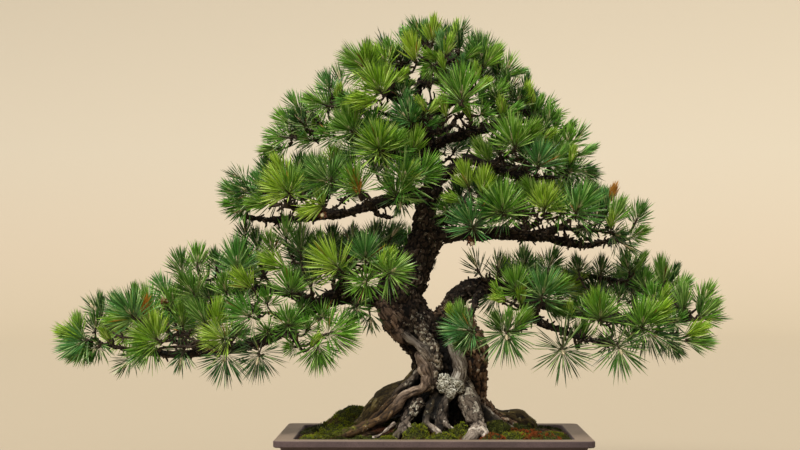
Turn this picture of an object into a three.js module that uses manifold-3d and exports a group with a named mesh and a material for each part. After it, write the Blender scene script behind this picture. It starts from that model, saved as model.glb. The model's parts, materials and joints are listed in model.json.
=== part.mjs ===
// A Japanese black pine bonsai in its rectangular tray.
//
// Millimetres, +Z up. The front of the tree looks towards -Y. The origin is the middle of the tray's
// underside, on the face of its centre foot, so the tray stands on the plane z = 0.
//
// The tree is one trunk with its surface roots, and one piece for each branch with its twigs and
// needles. It stands in soil, which fills the tray and is cut to the roots that lie in it.

import * as THREE from "three";
import { mergeVertices } from "three/addons/utils/BufferGeometryUtils.js";
import Module from "manifold-3d";

const wasm = await Module();
wasm.setup();

// Driving dimensions of the tray

const TRAY = {
  halfLength: 250,
  halfWidth: 175,
  height: 95,
  cornerRadius: 12,
  lipHeight: 11,
  lipOverhang: 10,
  lipWidth: 30,
  taper: 16,
  floorThickness: 12,
  footHeight: 12,
  edgeRound: 1.5,
};
const FOOT = { length: 58, width: 44, inset: 12 };
const CENTRE_FOOT = { length: 74, width: 54 };
const DRAIN = { fromCentre: 115, radius: 13, screenSize: 46, screenThickness: 1.5, screenHole: 9 };
const SEAT_GAP = 0.3;

// Driving dimensions of the tree

const NEEDLE = { length: 47, halfWidth: 1.4, shortest: 13, clearance: 0.5 };
const SHOOT = { radius: 2.6, length: 11, spacing: 20 };
const TWIG_TIP_RADIUS = 1.6;

// The trunk's strands and roots. Each is a list of [x, y, z, radius] from the top or the trunk
// outwards, with its number of sides and of steps along it.

const STRANDS = [
  {
    what: "heart of the trunk",
    sides: 8,
    steps: 13,
    line: [
      [22, 3, 74, 51],
      [21, 2, 92, 50],
      [18, 0, 138, 44],
      [12, 0, 179, 41],
      [2, 0, 217, 39],
      [-20, 2, 253, 39],
      [-48, 5, 289, 40],
      [-56, 8, 319, 36],
      [-46, 10, 350, 33],
      [-32, 8, 381, 30],
      [-17, 4, 409, 25],
      [-14, 0, 439, 19],
      [-12, -4, 467, 17],
      [-1, -6, 491, 17],
      [5, -4, 513, 16],
      [-4, 0, 536, 14.5],
      [-9, 3, 562, 13.5],
      [-14, 3, 590, 11.5],
      [-20, 2, 612, 9.5],
    ],
  },
  {
    what: "right strand, down from the first right branch",
    sides: 7,
    steps: 8,
    line: [
      [12, 4, 292, 18],
      [44, 4, 278, 21],
      [61, 2, 237, 23],
      [64, 0, 196, 23],
      [66, 0, 155, 22],
      [82, 2, 126, 17],
      [118, 0, 108, 12],
      [158, -4, 93, 8],
      [186, -6, 82, 5],
    ],
  },
  {
    what: "left strand, down to the long front root",
    sides: 6,
    steps: 9,
    line: [
      [-82, -14, 300, 10],
      [-64, -28, 264, 13],
      [-40, -38, 238, 14],
      [-24, -42, 211, 14],
      [-12, -44, 182, 14],
      [-18, -50, 162, 14],
      [-40, -58, 150, 14],
      [-60, -68, 136, 13],
      [-84, -82, 122, 12],
      [-118, -102, 108, 11],
      [-158, -118, 97, 9],
      [-190, -128, 87, 6],
    ],
  },
  {
    what: "lichened ridge between the strands",
    sides: 5,
    steps: 4,
    line: [
      [-26, -30, 282, 8],
      [-10, -38, 256, 11],
      [4, -40, 226, 12],
      [10, -42, 196, 12],
      [12, -40, 166, 11],
    ],
  },
  {
    what: "bare centre strand and its forked root",
    sides: 6,
    steps: 7,
    line: [
      [28, -26, 256, 10],
      [40, -37, 232, 13],
      [49, -42, 203, 13],
      [42, -48, 174, 14],
      [30, -54, 152, 12],
      [22, -62, 127, 11],
      [30, -82, 108, 7],
      [48, -102, 92, 5],
      [60, -112, 82, 4],
    ],
  },
  {
    what: "thick front right root",
    sides: 6,
    steps: 5,
    line: [
      [44, -22, 196, 13],
      [57, -40, 162, 17],
      [68, -56, 134, 17],
      [75, -74, 112, 14],
      [66, -94, 97, 9],
      [56, -112, 84, 6],
    ],
  },
  {
    what: "outer toe of the front right root",
    sides: 5,
    steps: 2,
    line: [
      [76, -74, 112, 10],
      [88, -92, 100, 9],
      [104, -112, 84, 6],
    ],
  },
  {
    what: "arched left root",
    sides: 6,
    steps: 6,
    line: [
      [-8, 0, 196, 16],
      [-30, -4, 172, 18],
      [-54, -8, 156, 20],
      [-78, -12, 143, 20],
      [-98, -16, 124, 18],
      [-118, -20, 104, 14],
      [-142, -28, 86, 9],
    ],
  },
  {
    what: "left front root under the strands",
    sides: 4,
    steps: 4,
    line: [
      [-20, -50, 150, 10],
      [-38, -68, 128, 8],
      [-52, -88, 106, 7],
      [-62, -104, 92, 5],
      [-70, -114, 82, 4],
    ],
  },
  {
    what: "short front root",
    sides: 4,
    steps: 4,
    line: [
      [4, -36, 152, 11],
      [-8, -72, 114, 7],
      [-18, -92, 98, 5],
      [-22, -104, 86, 4],
    ],
  },
  {
    what: "right back root with its hump",
    sides: 6,
    steps: 5,
    line: [
      [60, 10, 146, 17],
      [92, 20, 119, 14],
      [116, 30, 114, 14],
      [139, 36, 111, 15],
      [160, 38, 98, 12],
      [176, 38, 84, 6],
    ],
  },
  {
    what: "back root",
    sides: 6,
    steps: 4,
    line: [
      [18, 26, 160, 20],
      [22, 52, 132, 16],
      [34, 78, 110, 12],
      [52, 100, 94, 8],
      [64, 114, 82, 5],
    ],
  },
  {
    what: "left back root",
    sides: 6,
    steps: 5,
    line: [
      [-12, 20, 165, 18],
      [-34, 42, 136, 15],
      [-58, 62, 122, 11],
      [-84, 82, 104, 9],
      [-104, 98, 84, 5],
    ],
  },
];

// The branches. A spine or side line is a list of [x, y, z, radius] from its base outwards. The
// branch's own piece starts at the seam, which is a length along the spine from its first point.
// Each shoot is its place, the way it points and its kind. A pad is an egg-shaped cloud of more
// shoots, for the far side, with its centre, half sizes and number of shoots.

const BRANCHES = [
  {
    name: "lower_left_branch",
    seam: 52,
    spine: [
      [-58, 2, 304, 20],
      [-104, -4, 317, 16],
      [-150, -14, 318, 14],
      [-189, -20, 303, 12],
      [-222, -15, 277, 11],
      [-262, -10, 253, 10],
      [-310, 0, 236, 9],
      [-367, 5, 226, 8],
      [-424, 0, 222, 6.5],
      [-482, -8, 226, 5],
      [-540, -14, 236, 3.5],
    ],
    sides: [
      [[-189, -20, 303, 8], [-222, 4, 318, 8], [-268, 18, 328, 7], [-320, 26, 328, 5], [-378, 20, 320, 4]],
      [[-130, -9, 318, 9], [-144, 28, 338, 7], [-162, 58, 354, 6], [-190, 86, 360, 4]],
      [[-158, -16, 318, 8], [-150, -48, 338, 6], [-136, -72, 350, 4]],
      [[-228, -14, 273, 8], [-226, -50, 256, 6], [-222, -78, 248, 4]],
      [[-340, 2, 231, 6], [-362, -32, 236, 5], [-380, -60, 242, 3.5]],
      [[-367, 5, 226, 6], [-400, 42, 232, 5], [-440, 68, 240, 3.5]],
    ],
    shoots: [
      [-570, -40, 250, -1, -0.35, 0.15, "fan"],
      [-576, 10, 264, -0.5, 0.1, 0.9, "fan"],
      [-542, 0, 290, -0.1, 0, 1, "young"],
      [-488, -60, 282, -0.1, -0.5, 0.85, "fan"],
      [-454, -75, 234, -0.5, -0.5, -0.7, "open"],
      [-408, -70, 272, 0, -0.5, 0.85, "fan"],
      [-328, -95, 214, -0.25, -0.6, -0.75, "open"],
      [-272, -105, 230, 0.15, -0.7, -0.7, "open"],
      [-292, -95, 292, -0.3, -0.55, 0.75, "open"],
      [-296, -60, 342, 0, -0.4, 0.9, "fan"],
      [-230, -90, 272, 0, -0.85, 0.45, "open"],
      [-164, -100, 262, 0.75, -0.6, 0.1, "open"],
      [-194, -100, 240, 0.2, -0.7, -0.7, "open"],
      [-390, -55, 328, -0.5, -0.45, 0.75, "fan"],
      [-368, -10, 360, -0.1, -0.3, 1, "open"],
      [-430, 0, 338, -0.9, -0.1, 0.5, "fan"],
      [-324, 10, 384, -0.1, 0, 1, "young"],
      [-270, -30, 374, 0, -0.3, 1, "open"],
      [-226, -10, 386, 0, -0.2, 1, "fan"],
      [-156, -80, 368, -0.65, -0.55, 0.5, "fan"],
      [-108, -100, 340, 0, -1, 0.1, "open"],
      [-72, -95, 356, 0.5, -0.85, 0.1, "open"],
      [-494, 20, 302, 0, 0.1, 1, "young"],
      [-236, -60, 330, 0.1, -0.4, 0.9, "fan"],
      [-362, -80, 282, 0, -0.6, 0.8, "open"],
    ],
    pads: [
      { centre: [-440, 55, 258], half: [110, 50, 30], shoots: 3 },
      { centre: [-300, 80, 336], half: [110, 48, 34], shoots: 2 },
      { centre: [-165, 85, 376], half: [70, 44, 26], shoots: 2 },
    ],
  },
  {
    name: "lower_right_branch",
    seam: 62,
    spine: [
      [8, 4, 260, 20],
      [24, 2, 290, 19],
      [38, 2, 315, 17],
      [60, 3, 330, 15],
      [93, 4, 333, 13],
      [134, 2, 324, 12],
      [170, 0, 308, 10],
      [220, -6, 294, 9],
      [272, -10, 284, 7.5],
      [330, -6, 276, 6],
      [378, 0, 277, 5],
      [422, 0, 284, 3.5],
    ],
    sides: [
      [[134, 2, 324, 8], [172, 30, 344, 7], [222, 40, 350, 6], [282, 40, 346, 5], [340, 30, 334, 3.5]],
      [[150, 0, 317, 8], [162, -36, 284, 7], [198, -62, 264, 6], [240, -80, 250, 5], [286, -88, 240, 3.5]],
      [[82, 4, 330, 8], [66, -34, 310, 6], [62, -66, 290, 4]],
      [[272, -10, 284, 6], [300, -46, 278, 5], [318, -72, 272, 3.5]],
      [[300, -8, 280, 6], [334, 34, 282, 5], [366, 64, 286, 3.5]],
    ],
    shoots: [
      [50, -85, 276, -0.3, -0.5, 0.85, "open"],
      [68, -100, 254, -0.9, -0.5, -0.05, "open"],
      [112, -110, 264, 0, -1, -0.25, "open"],
      [204, -110, 234, 0, -1, -0.3, "open"],
      [296, -95, 238, 0.15, -0.7, -0.7, "open"],
      [266, -105, 286, -0.1, -0.9, 0.4, "open"],
      [334, -95, 272, 0, -0.85, 0.35, "open"],
      [174, -100, 324, 0.15, -0.65, 0.7, "open"],
      [436, -10, 292, 1, -0.15, 0.35, "fan"],
      [414, -50, 262, 1, -0.35, -0.05, "fan"],
      [366, -70, 296, 0.7, -0.5, 0.5, "fan"],
      [136, -40, 348, -0.1, -0.4, 0.9, "fan"],
      [202, 20, 366, 0.1, 0, 1, "young"],
      [244, 0, 368, 0, -0.1, 1, "fan"],
      [288, 10, 374, 0, 0, 1, "young"],
      [378, 0, 356, 0.2, 0, 1, "fan"],
      [154, 20, 364, 0, 0.1, 1, "young"],
      [388, -30, 250, 0.5, -0.3, -0.7, "open"],
    ],
    pads: [
      { centre: [330, 70, 300], half: [96, 46, 34], shoots: 3 },
      { centre: [170, 75, 330], half: [86, 44, 28], shoots: 2 },
    ],
  },
  {
    name: "middle_left_branch",
    seam: 32,
    spine: [
      [-4, -4, 482, 13],
      [-44, -22, 479, 11],
      [-78, -32, 472, 10],
      [-112, -30, 463, 9],
      [-146, -20, 452, 8],
      [-190, -10, 446, 7],
      [-235, 0, 443, 6],
      [-282, 0, 444, 4.5],
      [-318, -8, 450, 3],
    ],
    sides: [
      [[-150, -20, 452, 6], [-178, 28, 458, 5], [-206, 64, 464, 3.5]],
      [[-190, -10, 446, 6], [-218, -46, 456, 5], [-236, -70, 464, 3.5]],
      [[-98, -32, 467, 5], [-92, -34, 452, 5], [-68, -36, 445, 4]],
    ],
    shoots: [
      [-318, -30, 462, -1, -0.25, 0, "fan"],
      [-312, -20, 490, -0.8, -0.2, 0.55, "fan"],
      [-234, -95, 486, -0.55, -0.55, 0.6, "open"],
      [-168, -85, 504, -0.1, -0.55, 0.8, "fan"],
      [-114, -90, 498, -0.1, -0.8, 0.5, "open"],
      [-58, -100, 480, 0.35, -0.75, 0.4, "open"],
      [-278, -40, 468, -0.2, -0.5, -0.6, "open"],
      [-266, 0, 524, -0.1, -0.1, 1, "fan"],
      [-182, -90, 466, -0.9, -0.45, -0.3, "young"],
    ],
    pads: [{ centre: [-214, 70, 486], half: [100, 50, 30], shoots: 3 }],
  },
  {
    name: "middle_right_branch",
    seam: 38,
    spine: [
      [-10, 2, 408, 14],
      [34, 0, 420, 12],
      [77, -5, 425, 11],
      [118, -5, 425, 10],
      [167, 0, 420, 8.5],
      [211, 4, 411, 7],
      [256, 0, 404, 5],
      [304, -6, 416, 3.5],
    ],
    sides: [
      [[118, -5, 425, 7], [146, 36, 432, 5.5], [178, 72, 438, 3.5]],
      [[167, 0, 420, 6], [190, -42, 424, 5], [210, -70, 434, 3.5]],
      [[60, -3, 423, 7], [72, -36, 436, 5.5], [82, -66, 448, 3.5]],
    ],
    shoots: [
      [110, -100, 456, -0.1, -0.75, 0.6, "open"],
      [180, -95, 464, 0.1, -0.55, 0.8, "fan"],
      [226, -80, 456, 0.15, -0.65, 0.65, "open"],
      [56, -70, 494, 0, -0.5, 0.9, "young"],
      [34, -90, 474, -0.7, -0.5, 0.4, "fan"],
      [58, -85, 426, -0.75, -0.6, 0, "open"],
      [282, -20, 464, 0.1, -0.2, 1, "fan"],
      [298, -50, 440, 0.4, -0.5, 0.7, "fan"],
      [318, -20, 418, 1, -0.3, 0, "open"],
    ],
    pads: [{ centre: [205, 72, 462], half: [100, 48, 32], shoots: 3 }],
  },
  {
    name: "upper_right_branch",
    seam: 32,
    spine: [
      [6, -4, 510, 11],
      [36, -10, 527, 10],
      [60, -15, 540, 9.5],
      [90, -12, 532, 8],
      [118, -6, 520, 7],
      [152, 0, 510, 5.5],
      [196, 0, 512, 3.5],
    ],
    sides: [
      [[90, -12, 532, 6], [104, -44, 536, 5], [118, -70, 546, 3.5]],
      [[118, -6, 520, 5], [144, 34, 522, 4.5], [164, 64, 528, 3.5]],
    ],
    shoots: [
      [130, -90, 562, 0, -0.6, 0.75, "open"],
      [162, -85, 526, 0.3, -0.6, 0.6, "open"],
      [94, -70, 540, -0.45, -0.5, 0.7, "fan"],
      [226, -50, 544, 0.1, -0.4, 0.9, "fan"],
      [244, -20, 524, 1, -0.2, -0.1, "open"],
    ],
    pads: [{ centre: [160, 60, 544], half: [74, 40, 28], shoots: 2 }],
  },
  {
    name: "high_right_branch",
    seam: 24,
    spine: [
      [-9, 0, 562, 8],
      [27, -4, 575, 7.5],
      [60, 2, 585, 7],
      [101, 6, 596, 6],
      [142, 6, 604, 4.5],
      [186, 0, 606, 3],
    ],
    sides: [[[70, 4, 588, 5], [92, 38, 596, 4], [112, 60, 604, 3]]],
    shoots: [
      [228, -10, 576, 0.8, -0.1, 0.5, "fan"],
      [180, -50, 582, 0.2, -0.5, 0.8, "fan"],
      [108, -60, 614, 0, -0.5, 0.9, "fan"],
      [182, 0, 630, 0.4, 0, 0.9, "young"],
      [150, -20, 642, 0.1, -0.2, 1, "young"],
    ],
    pads: [{ centre: [130, 62, 620], half: [66, 36, 24], shoots: 2 }],
  },
  {
    name: "high_left_branch",
    seam: 24,
    spine: [
      [-12, 0, 576, 8],
      [-46, -2, 586, 7.5],
      [-80, -8, 600, 7],
      [-112, -10, 604, 6],
      [-153, -6, 596, 5],
      [-194, -4, 588, 4],
      [-232, -8, 584, 3],
    ],
    sides: [
      [[-96, -9, 602, 5], [-122, -14, 624, 4.5], [-148, -22, 634, 3]],
      [[-130, -8, 600, 4.5], [-150, 36, 600, 4], [-170, 62, 600, 3]],
    ],
    shoots: [
      [-210, -80, 568, -0.2, -0.5, 0.8, "fan"],
      [-242, -30, 588, -0.8, -0.2, 0.5, "fan"],
      [-246, -20, 562, -0.9, -0.3, -0.2, "fan"],
      [-158, -70, 568, 0, -0.5, 0.8, "open"],
      [-166, -50, 642, -0.7, -0.35, 0.6, "fan"],
      [-212, -10, 622, -0.6, 0, 0.8, "young"],
    ],
    pads: [{ centre: [-158, 60, 606], half: [76, 38, 30], shoots: 3 }],
  },
  {
    name: "third_left_branch",
    seam: 26,
    spine: [
      [-1, -2, 530, 7.5],
      [-38, -16, 544, 6],
      [-74, -30, 550, 5],
      [-108, -44, 552, 3.5],
    ],
    sides: [],
    shoots: [
      [-88, -95, 554, 0, -0.7, 0.7, "open"],
      [-34, -60, 550, 0.2, -0.5, 0.8, "young"],
    ],
    pads: [{ centre: [-96, 40, 552], half: [66, 50, 22], shoots: 2 }],
  },
  {
    name: "crown_left",
    seam: 20,
    spine: [
      [-19, 2, 600, 7],
      [-44, 0, 628, 6],
      [-76, -4, 650, 5],
      [-112, -6, 664, 3.5],
    ],
    sides: [[[-58, -2, 638, 4.5], [-64, -34, 642, 4], [-74, -58, 648, 3]]],
    shoots: [
      [-86, -90, 652, -0.1, -0.75, 0.6, "open"],
      [-110, -50, 690, -0.45, -0.4, 0.8, "fan"],
      [-134, -20, 676, -0.8, -0.1, 0.4, "fan"],
      [-62, 0, 711, -0.2, 0, 1, "fan"],
      [-38, -70, 608, -0.2, -0.5, 0.8, "fan"],
    ],
    pads: [{ centre: [-86, 52, 678], half: [50, 44, 34], shoots: 2 }],
  },
  {
    name: "crown_right",
    seam: 20,
    spine: [
      [-18, 2, 596, 7],
      [16, 2, 626, 6],
      [52, 2, 648, 5],
      [92, 0, 662, 3.5],
    ],
    sides: [[[30, 2, 635, 4.5], [40, -34, 634, 4], [46, -62, 634, 3]]],
    shoots: [
      [44, -95, 634, 0, -0.7, 0.7, "open"],
      [88, -20, 702, 0.45, -0.1, 0.9, "fan"],
      [124, -10, 680, 0.8, 0, 0.5, "fan"],
      [108, -50, 650, 0.4, -0.5, 0.7, "fan"],
    ],
    pads: [{ centre: [66, 52, 676], half: [52, 44, 34], shoots: 2 }],
  },
  {
    name: "leader",
    seam: 12,
    spine: [
      [-20, 2, 612, 8.5],
      [-24, 2, 650, 6.5],
      [-15, 0, 682, 5],
      [-6, 0, 706, 3.5],
    ],
    sides: [[[-21, 2, 664, 4.5], [-14, -30, 664, 4], [-8, -58, 662, 3]]],
    shoots: [
      [-28, -60, 702, -0.35, -0.4, 0.85, "fan"],
      [-10, -10, 728, -0.1, 0, 1, "young"],
      [38, 0, 728, 0.1, 0, 1, "fan"],
      [6, -80, 674, 0, -0.6, 0.7, "fan"],
      [-2, -90, 618, 0, -0.6, 0.7, "young"],
    ],
    pads: [{ centre: [-8, 52, 706], half: [56, 40, 26], shoots: 2 }],
  },
  {
    name: "low_back_branch",
    seam: 44,
    spine: [
      [-44, 12, 356, 12],
      [-52, 60, 366, 10],
      [-70, 98, 366, 8],
      [-92, 128, 360, 6],
      [-116, 150, 358, 4],
    ],
    sides: [],
    shoots: [],
    pads: [{ centre: [-86, 158, 374], half: [76, 34, 22], shoots: 3 }],
  },
  {
    name: "right_back_branch",
    seam: 40,
    spine: [
      [-14, 4, 430, 11],
      [26, 40, 446, 9],
      [66, 78, 454, 7.5],
      [104, 104, 456, 6],
      [140, 122, 456, 4],
    ],
    sides: [],
    shoots: [],
    pads: [{ centre: [96, 142, 474], half: [74, 36, 26], shoots: 3 }],
  },
  {
    name: "middle_back_branch",
    seam: 30,
    spine: [
      [-2, 0, 504, 10],
      [6, 44, 522, 8],
      [6, 84, 534, 6.5],
      [-4, 116, 540, 4.5],
    ],
    sides: [],
    shoots: [],
    pads: [{ centre: [-6, 124, 558], half: [86, 44, 28], shoots: 4 }],
  },
  {
    name: "high_back_branch",
    seam: 24,
    spine: [
      [-12, 4, 580, 8],
      [-8, 38, 604, 6.5],
      [-4, 70, 622, 5],
      [0, 92, 630, 3.5],
    ],
    sides: [],
    shoots: [],
    pads: [{ centre: [0, 104, 646], half: [72, 34, 28], shoots: 3 }],
  },
];

// Colours and finishes

const unglazedStoneware = { color: 0x67544e, roughness: 0.75 };
const blackMesh = { color: 0x1d1f1e, roughness: 0.6 };
const darkSoil = { color: 0x3a2c1a, roughness: 1 };
const pineBark = { color: 0x4a3a2c, roughness: 0.95 };
const pineNeedles = { color: 0x3f6a2a, roughness: 0.55 };

// Small helpers

const up = new THREE.Vector3(0, 0, 1);
const vector = ([x, y, z]) => new THREE.Vector3(x, y, z);
const fraction = (value) => value - Math.floor(value);

// Repeatable random numbers from 0 to 1.
function seededRandom(seed) {
  let state = seed * 7919 + 1;
  const next = () => {
    state = (state * 1664525 + 1013904223) % 4294967296;
    return state / 4294967296;
  };
  next();
  next();
  return next;
}

function solidOf(geometry) {
  const bare = new THREE.BufferGeometry().setAttribute("position", geometry.getAttribute("position"));
  if (geometry.index) bare.setIndex(geometry.index);
  const merged = mergeVertices(bare, 1e-4);
  const mesh = new wasm.Mesh({
    numProp: 3,
    vertProperties: merged.attributes.position.array,
    triVerts: new Uint32Array(merged.index.array),
  });
  return new wasm.Manifold(mesh);
}

function pieceOf(solid, name, finish) {
  const { numProp, numVert, vertProperties, triVerts } = solid.getMesh();
  const positions = new Float32Array(numVert * 3);
  for (let i = 0; i < numVert; i++) {
    positions.set(vertProperties.subarray(i * numProp, i * numProp + 3), i * 3);
  }
  const geometry = new THREE.BufferGeometry()
    .setAttribute("position", new THREE.BufferAttribute(positions, 3))
    .setIndex(new THREE.BufferAttribute(triVerts, 1));
  const piece = new THREE.Mesh(geometry, new THREE.MeshStandardMaterial(finish));
  piece.name = name;
  return piece;
}

const joined = (solids) => solids.reduce((all, next) => all.add(next));

// The body that holds most of a solid, without the crumbs a cut can leave.
function largestBody(solid) {
  return solid.decompose().sort((a, b) => b.volume() - a.volume())[0];
}

// A closed surface through rings of points that all have the same count. Seen from the last ring
// each runs anticlockwise, and flat fans close both ends.
function ringsGeometry(rings) {
  const count = rings[0].length;
  const index = [];
  for (let ring = 0; ring + 1 < rings.length; ring++) {
    for (let i = 0; i < count; i++) {
      const a = ring * count + i;
      const b = ring * count + ((i + 1) % count);
      index.push(a, b, b + count, a, b + count, a + count);
    }
  }
  const last = (rings.length - 1) * count;
  for (let i = 1; i + 1 < count; i++) {
    index.push(0, i + 1, i);
    index.push(last, last + i, last + i + 1);
  }
  return new THREE.BufferGeometry().setFromPoints(rings.flat()).setIndex(index);
}

// Tray

const CORNER_STEPS = 3;
const CAVITY_TAPER = 12;
const floorTop = TRAY.footHeight + TRAY.floorThickness;

function roundedRectangle(inset, z) {
  const { cornerRadius } = TRAY;
  const x = TRAY.halfLength - inset - cornerRadius;
  const y = TRAY.halfWidth - inset - cornerRadius;
  const corners = [
    [x, y],
    [-x, y],
    [-x, -y],
    [x, -y],
  ];
  return corners.flatMap(([cornerX, cornerY], quarter) =>
    Array.from({ length: CORNER_STEPS + 1 }, (_, step) => {
      const angle = ((quarter + step / CORNER_STEPS) * Math.PI) / 2;
      return new THREE.Vector3(
        cornerX + cornerRadius * Math.cos(angle),
        cornerY + cornerRadius * Math.sin(angle),
        z,
      );
    }),
  );
}

function box(length, width, low, high, x, y) {
  const geometry = new THREE.BoxGeometry(length, width, high - low);
  return solidOf(geometry.translate(x, y, (low + high) / 2));
}

function drainHole(x) {
  const geometry = new THREE.CylinderGeometry(DRAIN.radius, DRAIN.radius, TRAY.floorThickness * 3, 12);
  return solidOf(geometry.rotateX(Math.PI / 2).translate(x, 0, floorTop - TRAY.floorThickness / 2));
}

function makeTray() {
  const { halfLength, halfWidth, height, footHeight, edgeRound } = TRAY;
  const { lipHeight, lipOverhang, lipWidth, taper } = TRAY;
  const shell = solidOf(
    ringsGeometry([
      roundedRectangle(lipOverhang + taper, footHeight),
      roundedRectangle(lipOverhang, height - lipHeight - 1),
      roundedRectangle(edgeRound, height - lipHeight),
      roundedRectangle(0, height - lipHeight + edgeRound),
      roundedRectangle(0, height - edgeRound),
      roundedRectangle(edgeRound, height),
      roundedRectangle(lipWidth - edgeRound, height),
      roundedRectangle(lipWidth, height - edgeRound),
      roundedRectangle(lipWidth + CAVITY_TAPER, floorTop),
    ]),
  );
  const footX = halfLength - lipOverhang - taper - FOOT.inset - FOOT.length / 2;
  const footY = halfWidth - lipOverhang - taper - FOOT.inset - FOOT.width / 2;
  const feet = [-footX, footX].flatMap((x) =>
    [-footY, footY].map((y) => box(FOOT.length, FOOT.width, 0, footHeight + 2, x, y)),
  );
  const centreFoot = box(CENTRE_FOOT.length, CENTRE_FOOT.width, 0, footHeight + 2, 0, 0);
  return joined([shell, ...feet, centreFoot])
    .subtract(drainHole(-DRAIN.fromCentre))
    .subtract(drainHole(DRAIN.fromCentre));
}

// A square of plastic mesh lies over each drain hole and keeps the soil in.
function makeDrainScreen(x) {
  const { screenSize, screenThickness, screenHole } = DRAIN;
  const low = floorTop + SEAT_GAP;
  const high = low + screenThickness;
  const fromMiddle = screenHole * 0.85;
  const holes = [-fromMiddle, fromMiddle].flatMap((dx) =>
    [-fromMiddle, fromMiddle].map((dy) => box(screenHole, screenHole, low - 1, high + 1, x + dx, dy)),
  );
  return box(screenSize, screenSize, low, high, x, 0).subtract(joined(holes));
}

// Wood: closed tubes along smooth lines of [x, y, z, radius]

const smoothLine = (line) => new THREE.CatmullRomCurve3(line.map(vector), false, "centripetal");

function radiusAt(line, share) {
  const place = share * (line.length - 1);
  const before = Math.min(Math.floor(place), line.length - 2);
  return THREE.MathUtils.lerp(line[before][3], line[before + 1][3], place - before);
}

// grow makes the tube thicker and longer all round by that much.
function taperedTube(line, sides, steps, grow = 0) {
  const curve = smoothLine(line);
  const { tangents, normals, binormals } = curve.computeFrenetFrames(steps, false);
  const rings = tangents.map((tangent, step) => {
    const u = step / steps;
    const centre = curve.getPointAt(u);
    if (step === 0) centre.addScaledVector(tangent, -grow);
    if (step === steps) centre.addScaledVector(tangent, grow);
    const radius = radiusAt(line, curve.getUtoTmapping(u)) + grow;
    return Array.from({ length: sides }, (_, side) => {
      const angle = (side / sides) * Math.PI * 2;
      return centre
        .clone()
        .addScaledVector(normals[step], Math.cos(angle) * radius)
        .addScaledVector(binormals[step], Math.sin(angle) * radius);
    });
  });
  return solidOf(ringsGeometry(rings));
}

const SPINE = { sides: 6, step: 50 };
const SIDE_BRANCH = { sides: 4, step: 50 };

function branchTube(line, { sides, step }) {
  return taperedTube(line, sides, Math.max(2, Math.round(smoothLine(line).getLength() / step)));
}

// A spine is cut at its seam: the stub belongs to the trunk, and the rest is the branch's piece.
function splitSpine({ spine, seam }) {
  const curve = smoothLine(spine);
  const u = seam / curve.getLength();
  const outwards = curve.getTangentAt(u);
  const inwards = outwards.clone().negate();
  const offset = curve.getPointAt(u).dot(outwards);
  const whole = branchTube(spine, SPINE);
  return {
    outer: largestBody(whole.trimByPlane(outwards.toArray(), offset + SEAT_GAP / 2)),
    stub: largestBody(whole.trimByPlane(inwards.toArray(), SEAT_GAP / 2 - offset)),
  };
}

// Where wood and needles already are, as tapered rods sorted into cubes of space

const CUBE = 45;

class Occupied {
  cubes = new Map();

  *keysAround({ a, b, ra, rb }, reach) {
    const room = Math.max(ra, rb) + reach;
    const low = a.clone().min(b).addScalar(-room).divideScalar(CUBE).floor();
    const high = a.clone().max(b).addScalar(room).divideScalar(CUBE).floor();
    for (let x = low.x; x <= high.x; x++) {
      for (let y = low.y; y <= high.y; y++) {
        for (let z = low.z; z <= high.z; z++) yield `${x},${y},${z}`;
      }
    }
  }

  add(rods) {
    for (const rod of rods) {
      for (const key of this.keysAround(rod, 0)) {
        if (!this.cubes.has(key)) this.cubes.set(key, new Set());
        this.cubes.get(key).add(rod);
      }
    }
  }

  // Whether a rod keeps a distance from all that is there, apart from what belongs to its owner.
  isClear(rod, distance) {
    for (const key of this.keysAround(rod, distance)) {
      for (const other of this.cubes.get(key) ?? []) {
        if (other.owner !== rod.owner && gapBetween(other, rod) < distance) return false;
      }
    }
    return true;
  }
}

// The gap between two tapered rods, measured at the closest points of their middle lines.
function gapBetween(p, q) {
  const alongP = p.b.clone().sub(p.a);
  const alongQ = q.b.clone().sub(q.a);
  const apart = p.a.clone().sub(q.a);
  const pp = alongP.lengthSq();
  const qq = alongQ.lengthSq();
  const pq = alongP.dot(alongQ);
  const pApart = alongP.dot(apart);
  const qApart = alongQ.dot(apart);
  const within = (value) => THREE.MathUtils.clamp(value, 0, 1);
  const skew = pp * qq - pq * pq;
  let onP = skew > 1e-9 ? within((pq * qApart - pApart * qq) / skew) : 0;
  const onQ = within((pq * onP + qApart) / qq);
  onP = within((pq * onQ - pApart) / pp);
  const pointP = p.a.clone().addScaledVector(alongP, onP);
  const pointQ = q.a.clone().addScaledVector(alongQ, onQ);
  const radii = THREE.MathUtils.lerp(p.ra, p.rb, onP) + THREE.MathUtils.lerp(q.ra, q.rb, onQ);
  return pointP.distanceTo(pointQ) - radii;
}

function rodsOfLine(line, owner, grow = 0) {
  const curve = smoothLine(line);
  const count = (line.length - 1) * 3;
  const points = curve.getPoints(count);
  return points.slice(1).map((b, i) => ({
    a: points[i],
    b,
    ra: radiusAt(line, i / count) + grow,
    rb: radiusAt(line, (i + 1) / count) + grow,
    owner,
  }));
}

// Shoots: where they stand on a pad and which way they point

const LOWEST_POLAR_ANGLE = 2.05;
const POLAR_SLICES = 48;

// The polar angle of an egg-shaped pad at which this share of its skin, from the top, is passed.
function polarAngle([a, b, c], share) {
  const flat = (a + b) / 2;
  const angleOf = (slice) => (slice / POLAR_SLICES) * LOWEST_POLAR_ANGLE;
  const areas = [0];
  for (let slice = 1; slice <= POLAR_SLICES; slice++) {
    const angle = angleOf(slice - 0.5);
    const band = Math.sin(angle) * Math.hypot(flat * Math.cos(angle), c * Math.sin(angle));
    areas.push(areas[slice - 1] + band);
  }
  const wanted = share * areas[POLAR_SLICES];
  const slice = areas.findIndex((area) => area > wanted);
  return angleOf(slice - 1 + (wanted - areas[slice - 1]) / (areas[slice] - areas[slice - 1]));
}

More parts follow.
